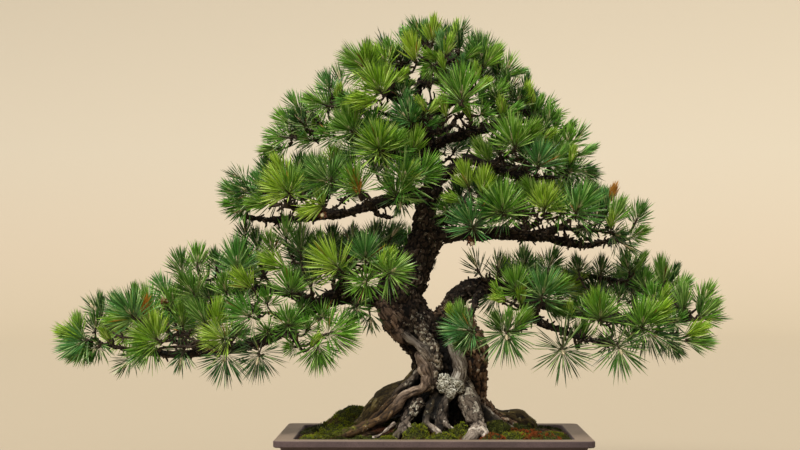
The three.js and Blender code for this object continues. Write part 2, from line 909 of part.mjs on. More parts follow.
// Steps that spread points evenly, however many: the powers of one over the plastic number.
const SPREAD = [0.7548776662466927, 0.5698402909980532];

function shootsOfPad(pad, padNumber) {
  const half = vector(pad.half);
  return Array.from({ length: pad.shoots }, (_, i) => {
    const random = seededRandom(padNumber * 977 + i * 131);
    const polar = polarAngle(pad.half, fraction(0.5 + SPREAD[0] * (i + 1)));
    const turn = Math.PI * 2 * fraction(0.5 + SPREAD[1] * (i + 1) + padNumber * 0.37);
    const skin = new THREE.Vector3().setFromSphericalCoords(1, polar, turn);
    skin.set(skin.z, skin.x, skin.y);
    const place = skin.clone().multiply(half).multiplyScalar(0.84 + 0.16 * random());
    place.add(vector(pad.centre));
    const axis = skin.clone().divide(half).normalize().addScaledVector(up, 0.3);
    axis.x += (random() - 0.5) * 0.5;
    axis.y += (random() - 0.5) * 0.5;
    axis.z += (random() - 0.5) * 0.3;
    const kind = random() < 0.5 ? "fan" : "young";
    return { place, axis: axis.normalize(), kind, seed: padNumber * 977 + i };
  });
}

function listedShoots({ shoots }, branchNumber) {
  return shoots.map(([x, y, z, alongX, alongY, alongZ, kind], i) => ({
    place: new THREE.Vector3(x, y, z),
    axis: new THREE.Vector3(alongX, alongY, alongZ).normalize(),
    kind,
    seed: branchNumber * 311 + i,
  }));
}

// Twigs: each shoot is joined to the wood that reaches it by the shortest way

const PATH_WEIGHT = 0.3;
const TWIG_ROOM = 3.5;
const TWIG_FORK = 0.55;

function* pointsAlong(line, firstLength, skip) {
  let length = firstLength;
  for (let i = 1; i < line.length; i++) {
    const before = vector(line[i - 1]);
    const here = vector(line[i]);
    const gap = before.distanceTo(here);
    const radius = line[i][3];
    const halfway = length + gap / 2;
    if (halfway > skip) yield { point: before.lerp(here, 0.5), length: halfway, radius };
    length += gap;
    if (length > skip) yield { point: here, length, radius };
  }
}

const SIDE_LENGTH = 60;
const SEAM_ROOM = 8;

function growTwigs(branch, shoots, occupied) {
  const anchors = [
    ...pointsAlong(branch.spine, 0, branch.seam + SEAM_ROOM),
    ...branch.sides.flatMap((side) => [...pointsAlong(side, SIDE_LENGTH, 0)]),
  ];
  const twigEnd = ({ place, axis }) => place.clone().addScaledVector(axis, -SHOOT.length / 2);
  const toWood = (shoot) => Math.min(...anchors.map(({ point }) => point.distanceTo(twigEnd(shoot))));
  const order = shoots.map((shoot) => [toWood(shoot), shoot]).sort((a, b) => a[0] - b[0]);

  const twigs = [];
  for (const [, shoot] of order) {
    const end = twigEnd(shoot);
    const cost = ({ point, length }) => point.distanceTo(end) + PATH_WEIGHT * length;
    const from = anchors.reduce((best, anchor) => (cost(anchor) < cost(best) ? anchor : best));
    const shortOfShoot = end.clone().addScaledVector(shoot.axis, -SHOOT.length / 2);
    const rod = { a: from.point, b: shortOfShoot, ra: TWIG_ROOM, rb: TWIG_ROOM, owner: branch.name };
    if (!occupied.isClear(rod, NEEDLE.clearance)) continue;
    occupied.add([rod]);
    const twig = { from, shoot, load: 1 };
    twigs.push(twig);
    const fork = from.point.clone().lerp(end, TWIG_FORK);
    const forkLength = from.length + from.point.distanceTo(fork);
    anchors.push({ point: fork, length: forkLength, radius: TWIG_ROOM, twig });
  }
  for (const { from, load } of twigs.toReversed()) {
    if (from.twig) from.twig.load += load;
  }
  return twigs;
}

// A sprig is a twig with the shoot at its end, in one closed surface. The last rings are the
// shoot's slim core, and each facet of the core is raised to the point of a needle.

function ringAround(centre, direction, side, radius, corners, twist = 0) {
  const across = side.projectOnPlane(direction).normalize();
  const other = direction.clone().cross(across);
  return Array.from({ length: corners }, (_, i) => {
    const angle = ((i + twist) / corners) * Math.PI * 2;
    return centre
      .clone()
      .addScaledVector(across, Math.cos(angle) * radius)
      .addScaledVector(other, Math.sin(angle) * radius);
  });
}

// How far a needle leans from the shoot's axis, in degrees, from the lowest facets up.
const LEANS = [98, 78, 58, 38, 17];

// An open shoot is a full star, a fan is half closed and a young shoot is a narrow brush.
const KINDS = {
  open: { openness: 1.06, corners: 4 },
  fan: { openness: 0.8, corners: 3 },
  young: { openness: 0.52, corners: 3 },
};

function makeSprig({ from, shoot, load }, occupied) {
  const { place, axis, kind, seed } = shoot;
  const { openness, corners } = KINDS[kind];
  const random = seededRandom(seed);
  const along = (distance) => place.clone().addScaledVector(axis, distance * SHOOT.length);
  const wood = Math.min(TWIG_TIP_RADIUS * load ** 0.45 + 0.6, TWIG_ROOM - 0.2, from.radius * 0.9);
  const side = new THREE.Vector3(random() - 0.5, random() - 0.5, 0.2);
  const lowest = along(-0.5);
  const outwards = lowest.clone().sub(from.point).normalize();
  const root = ringAround(from.point, outwards, side, wood, corners);
  const low = ringAround(lowest, axis, side, TWIG_TIP_RADIUS, corners);
  const waist = ringAround(place, axis, side, SHOOT.radius, corners, 0.5);
  const high = ringAround(along(0.3), axis, side, SHOOT.radius * 0.8, corners);
  const top = along(0.55);

  const positions = root.slice(2).flatMap((corner, i) => [root[0], corner, root[i + 1]]);
  const needles = [];
  for (let i = 0; i < corners; i++) {
    const next = (i + 1) % corners;
    positions.push(root[i], root[next], low[next], root[i], low[next], low[i]);
    const facets = [
      [low[i], low[next], waist[i]],
      [waist[i], low[next], waist[next]],
      [waist[i], waist[next], high[next]],
      [high[i], waist[i], high[next]],
      [high[i], high[next], top],
    ];
    facets.forEach((facet, level) => {
      const start = facet.reduce((sum, corner) => sum.add(corner), new THREE.Vector3()).divideScalar(3);
      const lean = THREE.MathUtils.degToRad(LEANS[level] * openness + (random() - 0.5) * 8);
      const sideways = start.clone().sub(place).projectOnPlane(axis).normalize();
      sideways.applyAxisAngle(axis, (random() - 0.5) * 0.24);
      const direction = sideways.multiplyScalar(Math.sin(lean)).addScaledVector(axis, Math.cos(lean));
      const fullLength = NEEDLE.length * (0.88 + 0.2 * random());
      const needle = freeNeedle(start, direction, fullLength, shoot, occupied);
      if (needle) {
        needles.push(needle);
        facet.forEach((corner, k) => positions.push(corner, facet[(k + 1) % 3], needle.b));
      } else {
        positions.push(...facet);
      }
    });
  }
  occupied.add(needles);
  return solidOf(new THREE.BufferGeometry().setFromPoints(positions));
}

// The longest needle this way that stops clear of everything else, or null where there is no room.
function freeNeedle(start, direction, fullLength, owner, occupied) {
  for (let length = fullLength; length >= NEEDLE.shortest; length *= 0.8) {
    const end = start.clone().addScaledVector(direction, length);
    const needle = { a: start, b: end, ra: NEEDLE.halfWidth, rb: 0.1, owner };
    if (occupied.isClear(needle, NEEDLE.clearance)) return needle;
  }
  return null;
}

// Soil: a mounded surface, cut to the roots

function soilHeight(x, y) {
  const mound = (cx, cy, rx, ry, height) =>
    height * Math.exp(-(((x - cx) / rx) ** 2) - ((y - cy) / ry) ** 2);
  return (
    88 +
    mound(15, 5, 125, 85, 22) +
    mound(-134, 45, 52, 44, 38) +
    mound(150, 20, 60, 50, 6) +
    1.5 * Math.sin(x / 17) * Math.cos(y / 13)
  );
}

const SOIL_CELLS = { alongX: 10, alongY: 6 };

function makeSoil(roots) {
  const length = TRAY.halfLength * 2 - TRAY.lipWidth;
  const width = TRAY.halfWidth * 2 - TRAY.lipWidth;
  const block = new THREE.BoxGeometry(length, width, 2, SOIL_CELLS.alongX, SOIL_CELLS.alongY, 1);
  const position = block.getAttribute("position");
  for (let i = 0; i < position.count; i++) {
    const isTop = position.getZ(i) > 0;
    position.setZ(i, isTop ? soilHeight(position.getX(i), position.getY(i)) : 0);
  }
  const wall = TRAY.lipWidth + SEAT_GAP;
  const wallTop = TRAY.height - TRAY.edgeRound;
  const room = solidOf(
    ringsGeometry([
      roundedRectangle(wall + CAVITY_TAPER, floorTop + SEAT_GAP),
      roundedRectangle(wall, wallTop),
      roundedRectangle(wall, wallTop + 80),
    ]),
  );
  const screenSeat = (x) => {
    const size = DRAIN.screenSize + SEAT_GAP * 2;
    return box(size, size, floorTop - 5, floorTop + DRAIN.screenThickness + SEAT_GAP * 2, x, 0);
  };
  return largestBody(
    solidOf(block)
      .intersect(room)
      .subtract(roots)
      .subtract(screenSeat(-DRAIN.fromCentre))
      .subtract(screenSeat(DRAIN.fromCentre)),
  );
}

// The whole object

const bonsai = new THREE.Group();
const add = (solid, name, finish) => bonsai.add(pieceOf(solid, name, finish));

const strandTubes = (grow) =>
  STRANDS.map(({ line, sides, steps }) => taperedTube(line, sides, steps, grow));
const splits = BRANCHES.map(splitSpine);
const trunk = joined([...strandTubes(0), ...splits.map(({ stub }) => stub)]);

add(makeTray(), "tray", unglazedStoneware);
add(makeDrainScreen(-DRAIN.fromCentre), "drain_screen_left", blackMesh);
add(makeDrainScreen(DRAIN.fromCentre), "drain_screen_right", blackMesh);
add(makeSoil(joined(strandTubes(SEAT_GAP))), "soil", darkSoil);
add(largestBody(trunk), "trunk", pineBark);

const occupied = new Occupied();
STRANDS.forEach(({ line }) => occupied.add(rodsOfLine(line, "trunk", 1)));
BRANCHES.forEach(({ name, spine, sides }) =>
  [spine, ...sides].forEach((line) => occupied.add(rodsOfLine(line, name))),
);

// All the wood comes before the needles, so that no needle runs into a twig.
const places = [];
function hasRoom({ place }) {
  const spot = { a: place, b: place.clone().add(up), ra: 5, rb: 5 };
  const isCrowded = places.some((other) => other.distanceTo(place) < SHOOT.spacing);
  if (isCrowded || !occupied.isClear(spot, 1)) return false;
  places.push(place);
  return true;
}

let padNumber = 0;
const twigsOfBranches = BRANCHES.map((branch, i) => {
  const onPads = branch.pads.flatMap((pad) => shootsOfPad(pad, ++padNumber));
  const shoots = [...listedShoots(branch, i), ...onPads].filter(hasRoom);
  return growTwigs(branch, shoots, occupied);
});
twigsOfBranches.flat().forEach(({ shoot }) => {
  const { place, axis } = shoot;
  const reach = axis.clone().multiplyScalar(SHOOT.length / 2);
  const core = { a: place.clone().sub(reach), b: place.clone().add(reach), owner: shoot };
  occupied.add([{ ...core, ra: SHOOT.radius + 1, rb: SHOOT.radius + 1 }]);
});

BRANCHES.forEach(({ name, sides }, i) => {
  const wood = [splits[i].outer, ...sides.map((side) => branchTube(side, SIDE_BRANCH))];
  const sprigs = twigsOfBranches[i].map((twig) => makeSprig(twig, occupied));
  add(largestBody(joined([...wood, ...sprigs])), name, pineNeedles);
});

export default bonsai;
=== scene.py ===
# %% [markdown]
# # A Japanese black pine bonsai
#
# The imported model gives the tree's limbs and sprigs, its soil and its tray at their real size, with
# plain faces. This lesson dresses them. It grows bark over the trunk, fills each branch with soft
# green tufts, lays moss on the soil and gives the tray the skin of unglazed stoneware.
#
# Lengths in the lists are millimetres, because that is how a maker thinks of such a tree. They turn
# into Blender's metres where a mesh is made. The front of the tree looks towards -Y.

import json
import math
import random

import bmesh
import bpy
import numpy as np
from mathutils import Matrix, Vector, noise
from mathutils.bvhtree import BVHTree

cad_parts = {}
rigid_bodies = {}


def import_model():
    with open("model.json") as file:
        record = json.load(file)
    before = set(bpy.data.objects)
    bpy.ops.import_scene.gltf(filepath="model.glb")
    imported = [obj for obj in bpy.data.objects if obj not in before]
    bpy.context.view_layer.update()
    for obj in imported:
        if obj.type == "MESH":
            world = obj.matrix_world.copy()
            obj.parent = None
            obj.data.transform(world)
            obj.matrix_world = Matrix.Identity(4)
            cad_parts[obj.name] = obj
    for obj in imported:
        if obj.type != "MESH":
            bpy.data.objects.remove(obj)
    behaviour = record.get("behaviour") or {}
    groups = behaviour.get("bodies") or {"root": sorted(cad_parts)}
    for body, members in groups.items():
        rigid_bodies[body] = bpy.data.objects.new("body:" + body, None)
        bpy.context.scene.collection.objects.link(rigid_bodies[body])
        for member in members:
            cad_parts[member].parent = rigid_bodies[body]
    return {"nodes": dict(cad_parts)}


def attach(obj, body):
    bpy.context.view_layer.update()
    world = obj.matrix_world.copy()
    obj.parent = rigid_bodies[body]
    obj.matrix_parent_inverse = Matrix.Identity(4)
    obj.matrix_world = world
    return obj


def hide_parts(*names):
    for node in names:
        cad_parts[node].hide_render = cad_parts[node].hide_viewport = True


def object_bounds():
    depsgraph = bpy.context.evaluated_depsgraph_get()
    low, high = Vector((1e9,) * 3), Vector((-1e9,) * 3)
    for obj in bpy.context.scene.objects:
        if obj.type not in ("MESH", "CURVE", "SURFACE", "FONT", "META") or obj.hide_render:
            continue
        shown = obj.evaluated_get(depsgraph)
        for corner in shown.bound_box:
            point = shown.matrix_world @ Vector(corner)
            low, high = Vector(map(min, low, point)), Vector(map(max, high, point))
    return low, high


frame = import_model()
CAD_LOW, CAD_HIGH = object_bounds()
MM = 0.001
print("packed model, metres:", [round(v, 3) for v in CAD_LOW], [round(v, 3) for v in CAD_HIGH])

# %% [markdown]
# ## Camera, floor and light
#
# The tree is seen from its front, a little above the tray and three metres away. So long a lens
# keeps the pads nearly flat in the picture. The camera is turned a touch to the left and up, which
# puts the tree right of the middle, and the tray's foot just below the picture's edge.

# %% Camera
CAMERA_PLACE = Vector((-17, -3100, 355)) * MM
FOCAL_PIXELS = 1887
PICTURE_WIDTH = 800
SENSOR_WIDTH = 36
TURN_LEFT = math.radians(0.698)
TILT_UP = math.radians(1.457)

camera = bpy.data.objects.new("camera", bpy.data.cameras.new("camera"))
camera.data.sensor_width = SENSOR_WIDTH
camera.data.lens = FOCAL_PIXELS / PICTURE_WIDTH * SENSOR_WIDTH
camera.location = CAMERA_PLACE
camera.rotation_euler = (math.pi / 2 + TILT_UP, 0, TURN_LEFT)
bpy.context.collection.objects.link(camera)
bpy.context.scene.camera = camera
print("lens, mm:", round(camera.data.lens, 1))

# %% Colours and nodes
def linear(hex_code):
    """An sRGB colour such as "4e3f3c", as the linear RGBA that Blender's sockets take."""
    channels = [int(hex_code[i:i + 2], 16) / 255 for i in (0, 2, 4)]
    curve = [c / 12.92 if c <= 0.04045 else ((c + 0.055) / 1.055) ** 2.4 for c in channels]
    return (*curve, 1.0)


def feed(tree, node, inputs):
    """Set a node's inputs. Each is a value, or the socket that feeds it."""
    for name, value in inputs.items():
        if isinstance(value, bpy.types.NodeSocket):
            tree.links.new(value, node.inputs[name])
        else:
            node.inputs[name].default_value = value


def add_node(tree, kind, inputs=None, stops=(), **settings):
    """Add a node with its settings, its inputs and the colour stops of its ramp."""
    node = tree.nodes.new(kind)
    for name, value in settings.items():
        setattr(node, name, value)
    feed(tree, node, inputs or {})
    for place, (position, hex_code) in enumerate(stops):
        elements = node.color_ramp.elements
        element = elements[place] if place < len(elements) else elements.new(position)
        element.position = position
        element.color = linear(hex_code)
    return node


def new_material(name):
    """A material with an empty tree, and its Principled shader already joined to the output."""
    material = bpy.data.materials.new(name)
    material.use_nodes = True
    tree = material.node_tree
    tree.nodes.clear()
    shader = add_node(tree, "ShaderNodeBsdfPrincipled")
    add_node(tree, "ShaderNodeOutputMaterial", {"Surface": shader.outputs[0]})
    return material, tree, shader


# A Mix node for colours has sockets of the same name for each type, so they are picked by number.
FACTOR, COLOUR_A, COLOUR_B, MIXED = 0, 6, 7, 2


def object_place(tree):
    """Where a point lies in its object, in metres."""
    return add_node(tree, "ShaderNodeTexCoord").outputs["Object"]


def attribute(tree, name, output="Fac"):
    """What the points of the mesh say under this name."""
    return add_node(tree, "ShaderNodeAttribute", attribute_name=name).outputs[output]


def ramp(tree, value, *stops):
    """The colour for a value from 0 to 1, between stops of position and colour."""
    return add_node(tree, "ShaderNodeValToRGB", {"Fac": value}, stops).outputs["Color"]


def slope(tree, value, low, high, start=0.0, end=1.0):
    """start up to low, end from high on, and a straight line between them."""
    inputs = {"Value": value, "From Min": low, "From Max": high, "To Min": start, "To Max": end}
    return add_node(tree, "ShaderNodeMapRange", inputs).outputs[0]


def clouds(tree, spots, scale, detail=2.0, roughness=0.5):
    """Soft noise around 0.5."""
    inputs = {"Vector": spots, "Scale": scale, "Detail": detail, "Roughness": roughness}
    return add_node(tree, "ShaderNodeTexNoise", inputs).outputs["Fac"]


def covered(tree, share, colour, cover, blend_type="MIX"):
    """A share of the cover colour laid over a colour."""
    inputs = {FACTOR: share, COLOUR_A: colour, COLOUR_B: cover}
    return add_node(tree, "ShaderNodeMix", inputs, data_type="RGBA", blend_type=blend_type).outputs[MIXED]


def shaded(tree, share, colour, shade):
    """A colour made darker by a share of the shade."""
    return covered(tree, share, colour, shade, "MULTIPLY")


def bump(tree, height, strength, distance, invert=False):
    """Shading that follows a height, as if it were this many metres deep."""
    inputs = {"Height": height, "Strength": strength, "Distance": distance}
    return add_node(tree, "ShaderNodeBump", inputs, invert=invert).outputs[0]


# %% Objects and meshes
def add_object(name, data):
    """A new object in the scene, which shows this data."""
    made = bpy.data.objects.new(name, data)
    bpy.context.collection.objects.link(made)
    return made


def as_mesh(bm, name):
    """The mesh that bmesh has built. The bmesh itself is freed."""
    mesh = bpy.data.meshes.new(name)
    bm.to_mesh(mesh)
    bm.free()
    return mesh


def store(mesh, name, kind, field, values):
    """Keep values for the mesh's points, under a name that a material can read."""
    data = mesh.attributes.new(name, kind, "POINT").data
    data.foreach_set(field, np.asarray(values, np.float32).ravel())


def store_floats(mesh, named_values):
    for name, values in named_values.items():
        store(mesh, name, "FLOAT", "value", values)


def read_rows(collection, field):
    """The vectors of a mesh's points as rows of an array."""
    values = np.empty(len(collection) * 3)
    collection.foreach_get(field, values)
    return values.reshape(-1, 3)


def placed(place, turn, size=None):
    """The matrix that sets a copy, whose size is in millimetres, at its place in metres."""
    return Matrix.Scale(MM, 4) @ Matrix.LocRotScale(Vector(place), turn, size)


def random_roll(dice):
    """A turn round z by any angle."""
    return Matrix.Rotation(dice.uniform(0, math.tau), 3, "Z").to_quaternion()


def random_vector(dice, most):
    return Vector([dice.uniform(-most, most) for _ in range(3)])


def lean_vector(lean, turn):
    """One unit long, leaning from z by an angle, and turned round z by another."""
    return Vector((math.sin(lean) * math.cos(turn), math.sin(lean) * math.sin(turn), math.cos(lean)))


def gathered(name, parts):
    """One mesh of many turned copies of small ones. Each copy may get attribute values of its own."""
    bm = bmesh.new()
    for mesh, matrix, values in parts:
        copy = mesh.copy()
        copy.transform(matrix)
        for key, value in values.items():
            copy.attributes[key].data.foreach_set("value", np.full(len(copy.vertices), value, np.float32))
        bm.from_mesh(copy)
        bpy.data.meshes.remove(copy)
    return as_mesh(bm, name)


def place_piece(name, mesh, material, slot, *nodes, smooth=True):
    """Make the mesh an object that rides on the root body, and say which CAD nodes it replaces."""
    piece = add_object(name, mesh)
    mesh.materials.clear()
    mesh.materials.append(material)
    if smooth:
        mesh.shade_smooth()
    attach(piece, "root")
    if nodes:
        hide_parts(*nodes)
    mesh.calc_loop_triangles()
    print(name, "triangles:", len(mesh.loop_triangles))


# %% [markdown]
# The floor is the middle of a very wide shallow bowl of cream paper, so that no line crosses the
# picture from any side. Its profile is spun once round. It is far larger than the tree, and open at
# the top, where a soft sky lights it. Its warm cream is plain, so the greens stay the strongest colour.

# %% Floor and backdrop
MIDDLE_RADIUS = 2.0
FLOOR_RADIUS = 7.5
CURVE_RADIUS = 4.0
WALL_TOP = 5.0
BEND_STEPS = 14
ROUND_STEPS = 96

bowl = bmesh.new()
profile = [(0.0, 0.0), (MIDDLE_RADIUS, 0.0), (FLOOR_RADIUS, 0.0)]
for step in range(1, BEND_STEPS + 1):
    angle = math.pi / 2 * step / BEND_STEPS
    profile.append((FLOOR_RADIUS + CURVE_RADIUS * math.sin(angle), CURVE_RADIUS * (1 - math.cos(angle))))
profile.append((FLOOR_RADIUS + CURVE_RADIUS, WALL_TOP))
points = [bowl.verts.new((radius, 0, height)) for radius, height in profile]
lines = [bowl.edges.new(pair) for pair in zip(points, points[1:])]
bmesh.ops.spin(bowl, geom=points + lines, cent=(0, 0, 0), axis=(0, 0, 1), angle=math.tau,
               steps=ROUND_STEPS, use_merge=True)
bmesh.ops.remove_doubles(bowl, verts=bowl.verts, dist=1e-5)
bmesh.ops.recalc_face_normals(bowl, faces=bowl.faces)
if min(bowl.faces, key=lambda face: face.calc_center_median().length).normal.z < 0:
    bmesh.ops.reverse_faces(bowl, faces=bowl.faces)
bowl_mesh = as_mesh(bowl, "paper_bowl")
bowl_mesh.shade_smooth()
paper_bowl = add_object("paper_bowl", bowl_mesh)

cream_paper, tree, shader = new_material("cream_paper")
spots = object_place(tree)
# The wall gets half the floor's light, so its paper is paler, and the two look the same.
level = add_node(tree, "ShaderNodeSeparateXYZ", {"Vector": spots}).outputs["Z"]
paper_tone = ramp(tree, slope(tree, level, 0.0, 1.2), (0.0, "aca08c"), (0.4, "afa391"), (1.0, "b1a898"))
feed(tree, shader, {"Base Color": paper_tone, "Roughness": 0.95, "Specular IOR Level": 0.1})
bowl_mesh.materials.append(cream_paper)
print("bowl faces:", len(bowl_mesh.polygons))

# %% Light
# The key light comes through a wide window, high on the left front, so its shadows have soft edges. A
# weak light from the right opens the shade. Both are as even as daylight, so the paper stays plain.
# Each is listed with the way to it, its width in degrees, its strength and its colour.
LIGHTS = [
    ("window", (-0.42, -0.62, 0.95), 34, 3.9, "fffaf0"),
    ("fill", (0.8, -0.7, 0.35), 60, 0.5, "f2f5ff"),
]

for name, towards, wide, strength, hex_code in LIGHTS:
    lamp = bpy.data.lights.new(name, "SUN")
    lamp.angle = math.radians(wide)
    lamp.energy = strength
    lamp.color = linear(hex_code)[:3]
    holder = add_object(name, lamp)
    holder.location = Vector(towards) * 3
    holder.rotation_euler = Vector(towards).to_track_quat("Z", "Y").to_euler()

world = bpy.data.worlds.new("soft_sky")
world.use_nodes = True
feed(world.node_tree, world.node_tree.nodes["Background"], {"Color": linear("fffaf2"), "Strength": 0.7})
bpy.context.scene.world = world
bpy.context.scene.view_settings.view_transform = "Standard"
print("lights:", len(LIGHTS))

# %% [markdown]
# ## Wood
#
# An old pine trunk is many strands: each root and each limb feeds its own strip of wood, and they
# twist round each other. So the trunk is modelled the same way, as tapered tubes along smooth lines,
# melted together by a voxel remesh. Then each point of the skin finds its strand. Bark plates and
# the grain of bare wood follow it, which no pattern in plain space would do.

# %% Smooth lines
def smooth_line(line, steps):
    """Points of a Catmull-Rom curve through rows of (x, y, z, radius), in millimetres."""
    rows = np.array(line, float)
    before = np.vstack([2 * rows[:1] - rows[1:2], rows[:-1]])
    after = np.vstack([rows[2:], 2 * rows[-1:] - rows[-2:-1]])
    points = [rows[:1]]
    for i in range(len(rows) - 1):
        t = np.linspace(0, 1, steps + 1)[1:, None]
        a, b, c, d = before[i], rows[i], rows[i + 1], after[i]
        bend = 2 * a - 5 * b + 4 * c - d
        twist = 3 * b - a - 3 * c + d
        points.append(0.5 * (2 * b + (c - a) * t + bend * t ** 2 + twist * t ** 3))
    return np.vstack(points)


def gnarled(line, wander, seed):
    """A smooth line with small kinks between its rows, as grown wood has. Its ends stay."""
    rows = smooth_line(line, 2)
    dice = random.Random(seed)
    for row in rows[1:-1]:
        row[:3] += [dice.uniform(-wander, wander) for _ in range(3)]
        row[3] *= dice.uniform(0.9, 1.12)
    return smooth_line(rows, 3)


def lengths_along(points):
    """How far along its line each point lies."""
    steps = np.linalg.norm(np.diff(points[:, :3], axis=0), axis=1)
    return np.concatenate([[0], np.cumsum(steps)])


def part_of_line(points, first, last):
    """The part of a line of points between two lengths along it."""
    length = lengths_along(points)
    return points[(length >= first) & (length <= last)]


def read_lines(table):
    """Rows of numbers for each line of a text. A comma parts two rows, and at a line's end joins lines."""
    joined = table.strip().replace(",\n", ", ")
    return [[tuple(map(float, row.split())) for row in line.split(",")] for line in joined.split("\n")]


# %% Tubes
def evaluated(holder):
    """The mesh that an object's curve or modifiers make. The object itself is removed."""
    graph = bpy.context.evaluated_depsgraph_get()
    mesh = bpy.data.meshes.new_from_object(holder.evaluated_get(graph))
    bpy.data.objects.remove(holder)
    return mesh


def tubes(name, lines, corner_pairs):
    """A mesh of capped tubes, one along each array of points. corner_pairs 1 gives six sides."""
    curve = bpy.data.curves.new(name, "CURVE")
    curve.dimensions = "3D"
    curve.bevel_depth = 1.0
    curve.bevel_resolution = corner_pairs
    curve.use_fill_caps = True
    for points in lines:
        spline = curve.splines.new("POLY")
        spline.points.add(len(points) - 1)
        places = np.column_stack([points[:, :3] * MM, np.ones(len(points))])
        spline.points.foreach_set("co", places.ravel())
        spline.points.foreach_set("radius", points[:, 3] * MM)
    mesh = evaluated(add_object(name, curve))
    bpy.data.curves.remove(curve)
    return mesh


def melted(mesh, voxel, smoothings):
    """The mesh remade as one skin of squares this size, in millimetres, and then eased."""
    holder = add_object("melting", mesh)
    remesh = holder.modifiers.new("melt", "REMESH")
    remesh.mode = "VOXEL"
    remesh.voxel_size = voxel * MM
    ease = holder.modifiers.new("ease", "SMOOTH")
    ease.factor = 0.5
    ease.iterations = smoothings
    return evaluated(holder)


# %% [markdown]
# The skin reads its strand's finish from this table. The colour is that of the high spots: cracks are
# always painted nearly black, as shade. Plates is how deep the bark is broken, and grain how deep the
# bare wood's lines are, in millimetres. Pale is how much crust lichen it bears, and film how much moss
# where it is damp.

# %% Finishes of the wood
# Colour, plates, grain, pale and film.
FINISHES = {
    "dark bark": ("51443a", 5.0, 0.5, 0.12, 0.7),
    "limb bark": ("453930", 5.0, 0.5, 0.1, 0.0),
    "brown bark": ("86694f", 3.8, 1.1, 0.12, 0.7),
    "worn bark": ("b09885", 2.6, 1.2, 0.1, 0.0),
    "red bark": ("ab8c70", 5.0, 1.1, 0.35, 0.6),
    "lichened bark": ("6c6054", 3.2, 0.4, 0.7, 0.5),
    "bare tan": ("b6a595", 0.4, 2.3, 0.1, 0.0),
    "bare grey": ("cccac4", 0.2, 2.0, 0.0, 0.0),
    "dark root": ("5d554c", 2.2, 1.1, 0.2, 0.9),
    "grey root": ("9d958a", 2.6, 1.2, 0.6, 0.3),
    "pale root": ("f0e9df", 0.6, 1.0, 0.4, 0.0),
    "olive root": ("85784a", 0.8, 1.0, 0.1, 0.9),
    "brown root": ("7d6440", 1.0, 1.1, 0.05, 0.8),
    # The mossy root lies in the gaps behind the other roots, and its colour is darkened as painted shade.
    "mossy root": ("3c341f", 1.4, 0.5, 0.05, 1.4),
}

# %% [markdown]
# The limbs are trained lines, listed from their base outwards as rows of x, y, z and radius: first the
# branch's spine, then its side limbs. The seam is the length along the spine at which the branch's own
# piece starts. A pad is an egg-shaped cloud of tufts for the far side: its centre, its half sizes and
# how many tufts. The tufts that face the front are listed one by one: place, the way each points, its
# kind and its tone. They are written as plain text, because so many rows read better without brackets.

# %% Branches and their tufts
BRANCHES = {}


def add_branch(name, seam, pads, limbs, tufts=""):
    """List a branch, with its limbs and its tufts read from text."""
    spine, *sides = read_lines(limbs)
    rows = []
    for line in tufts.strip().splitlines():
        *numbers, kind, tone = line.split()
        numbers = [float(word) for word in numbers]
        rows.append((Vector(numbers[:3]), Vector(numbers[3:]).normalized(), kind, tone))
    BRANCHES[name] = {"seam": seam, "pads": pads, "spine": spine, "sides": sides, "tufts": rows}


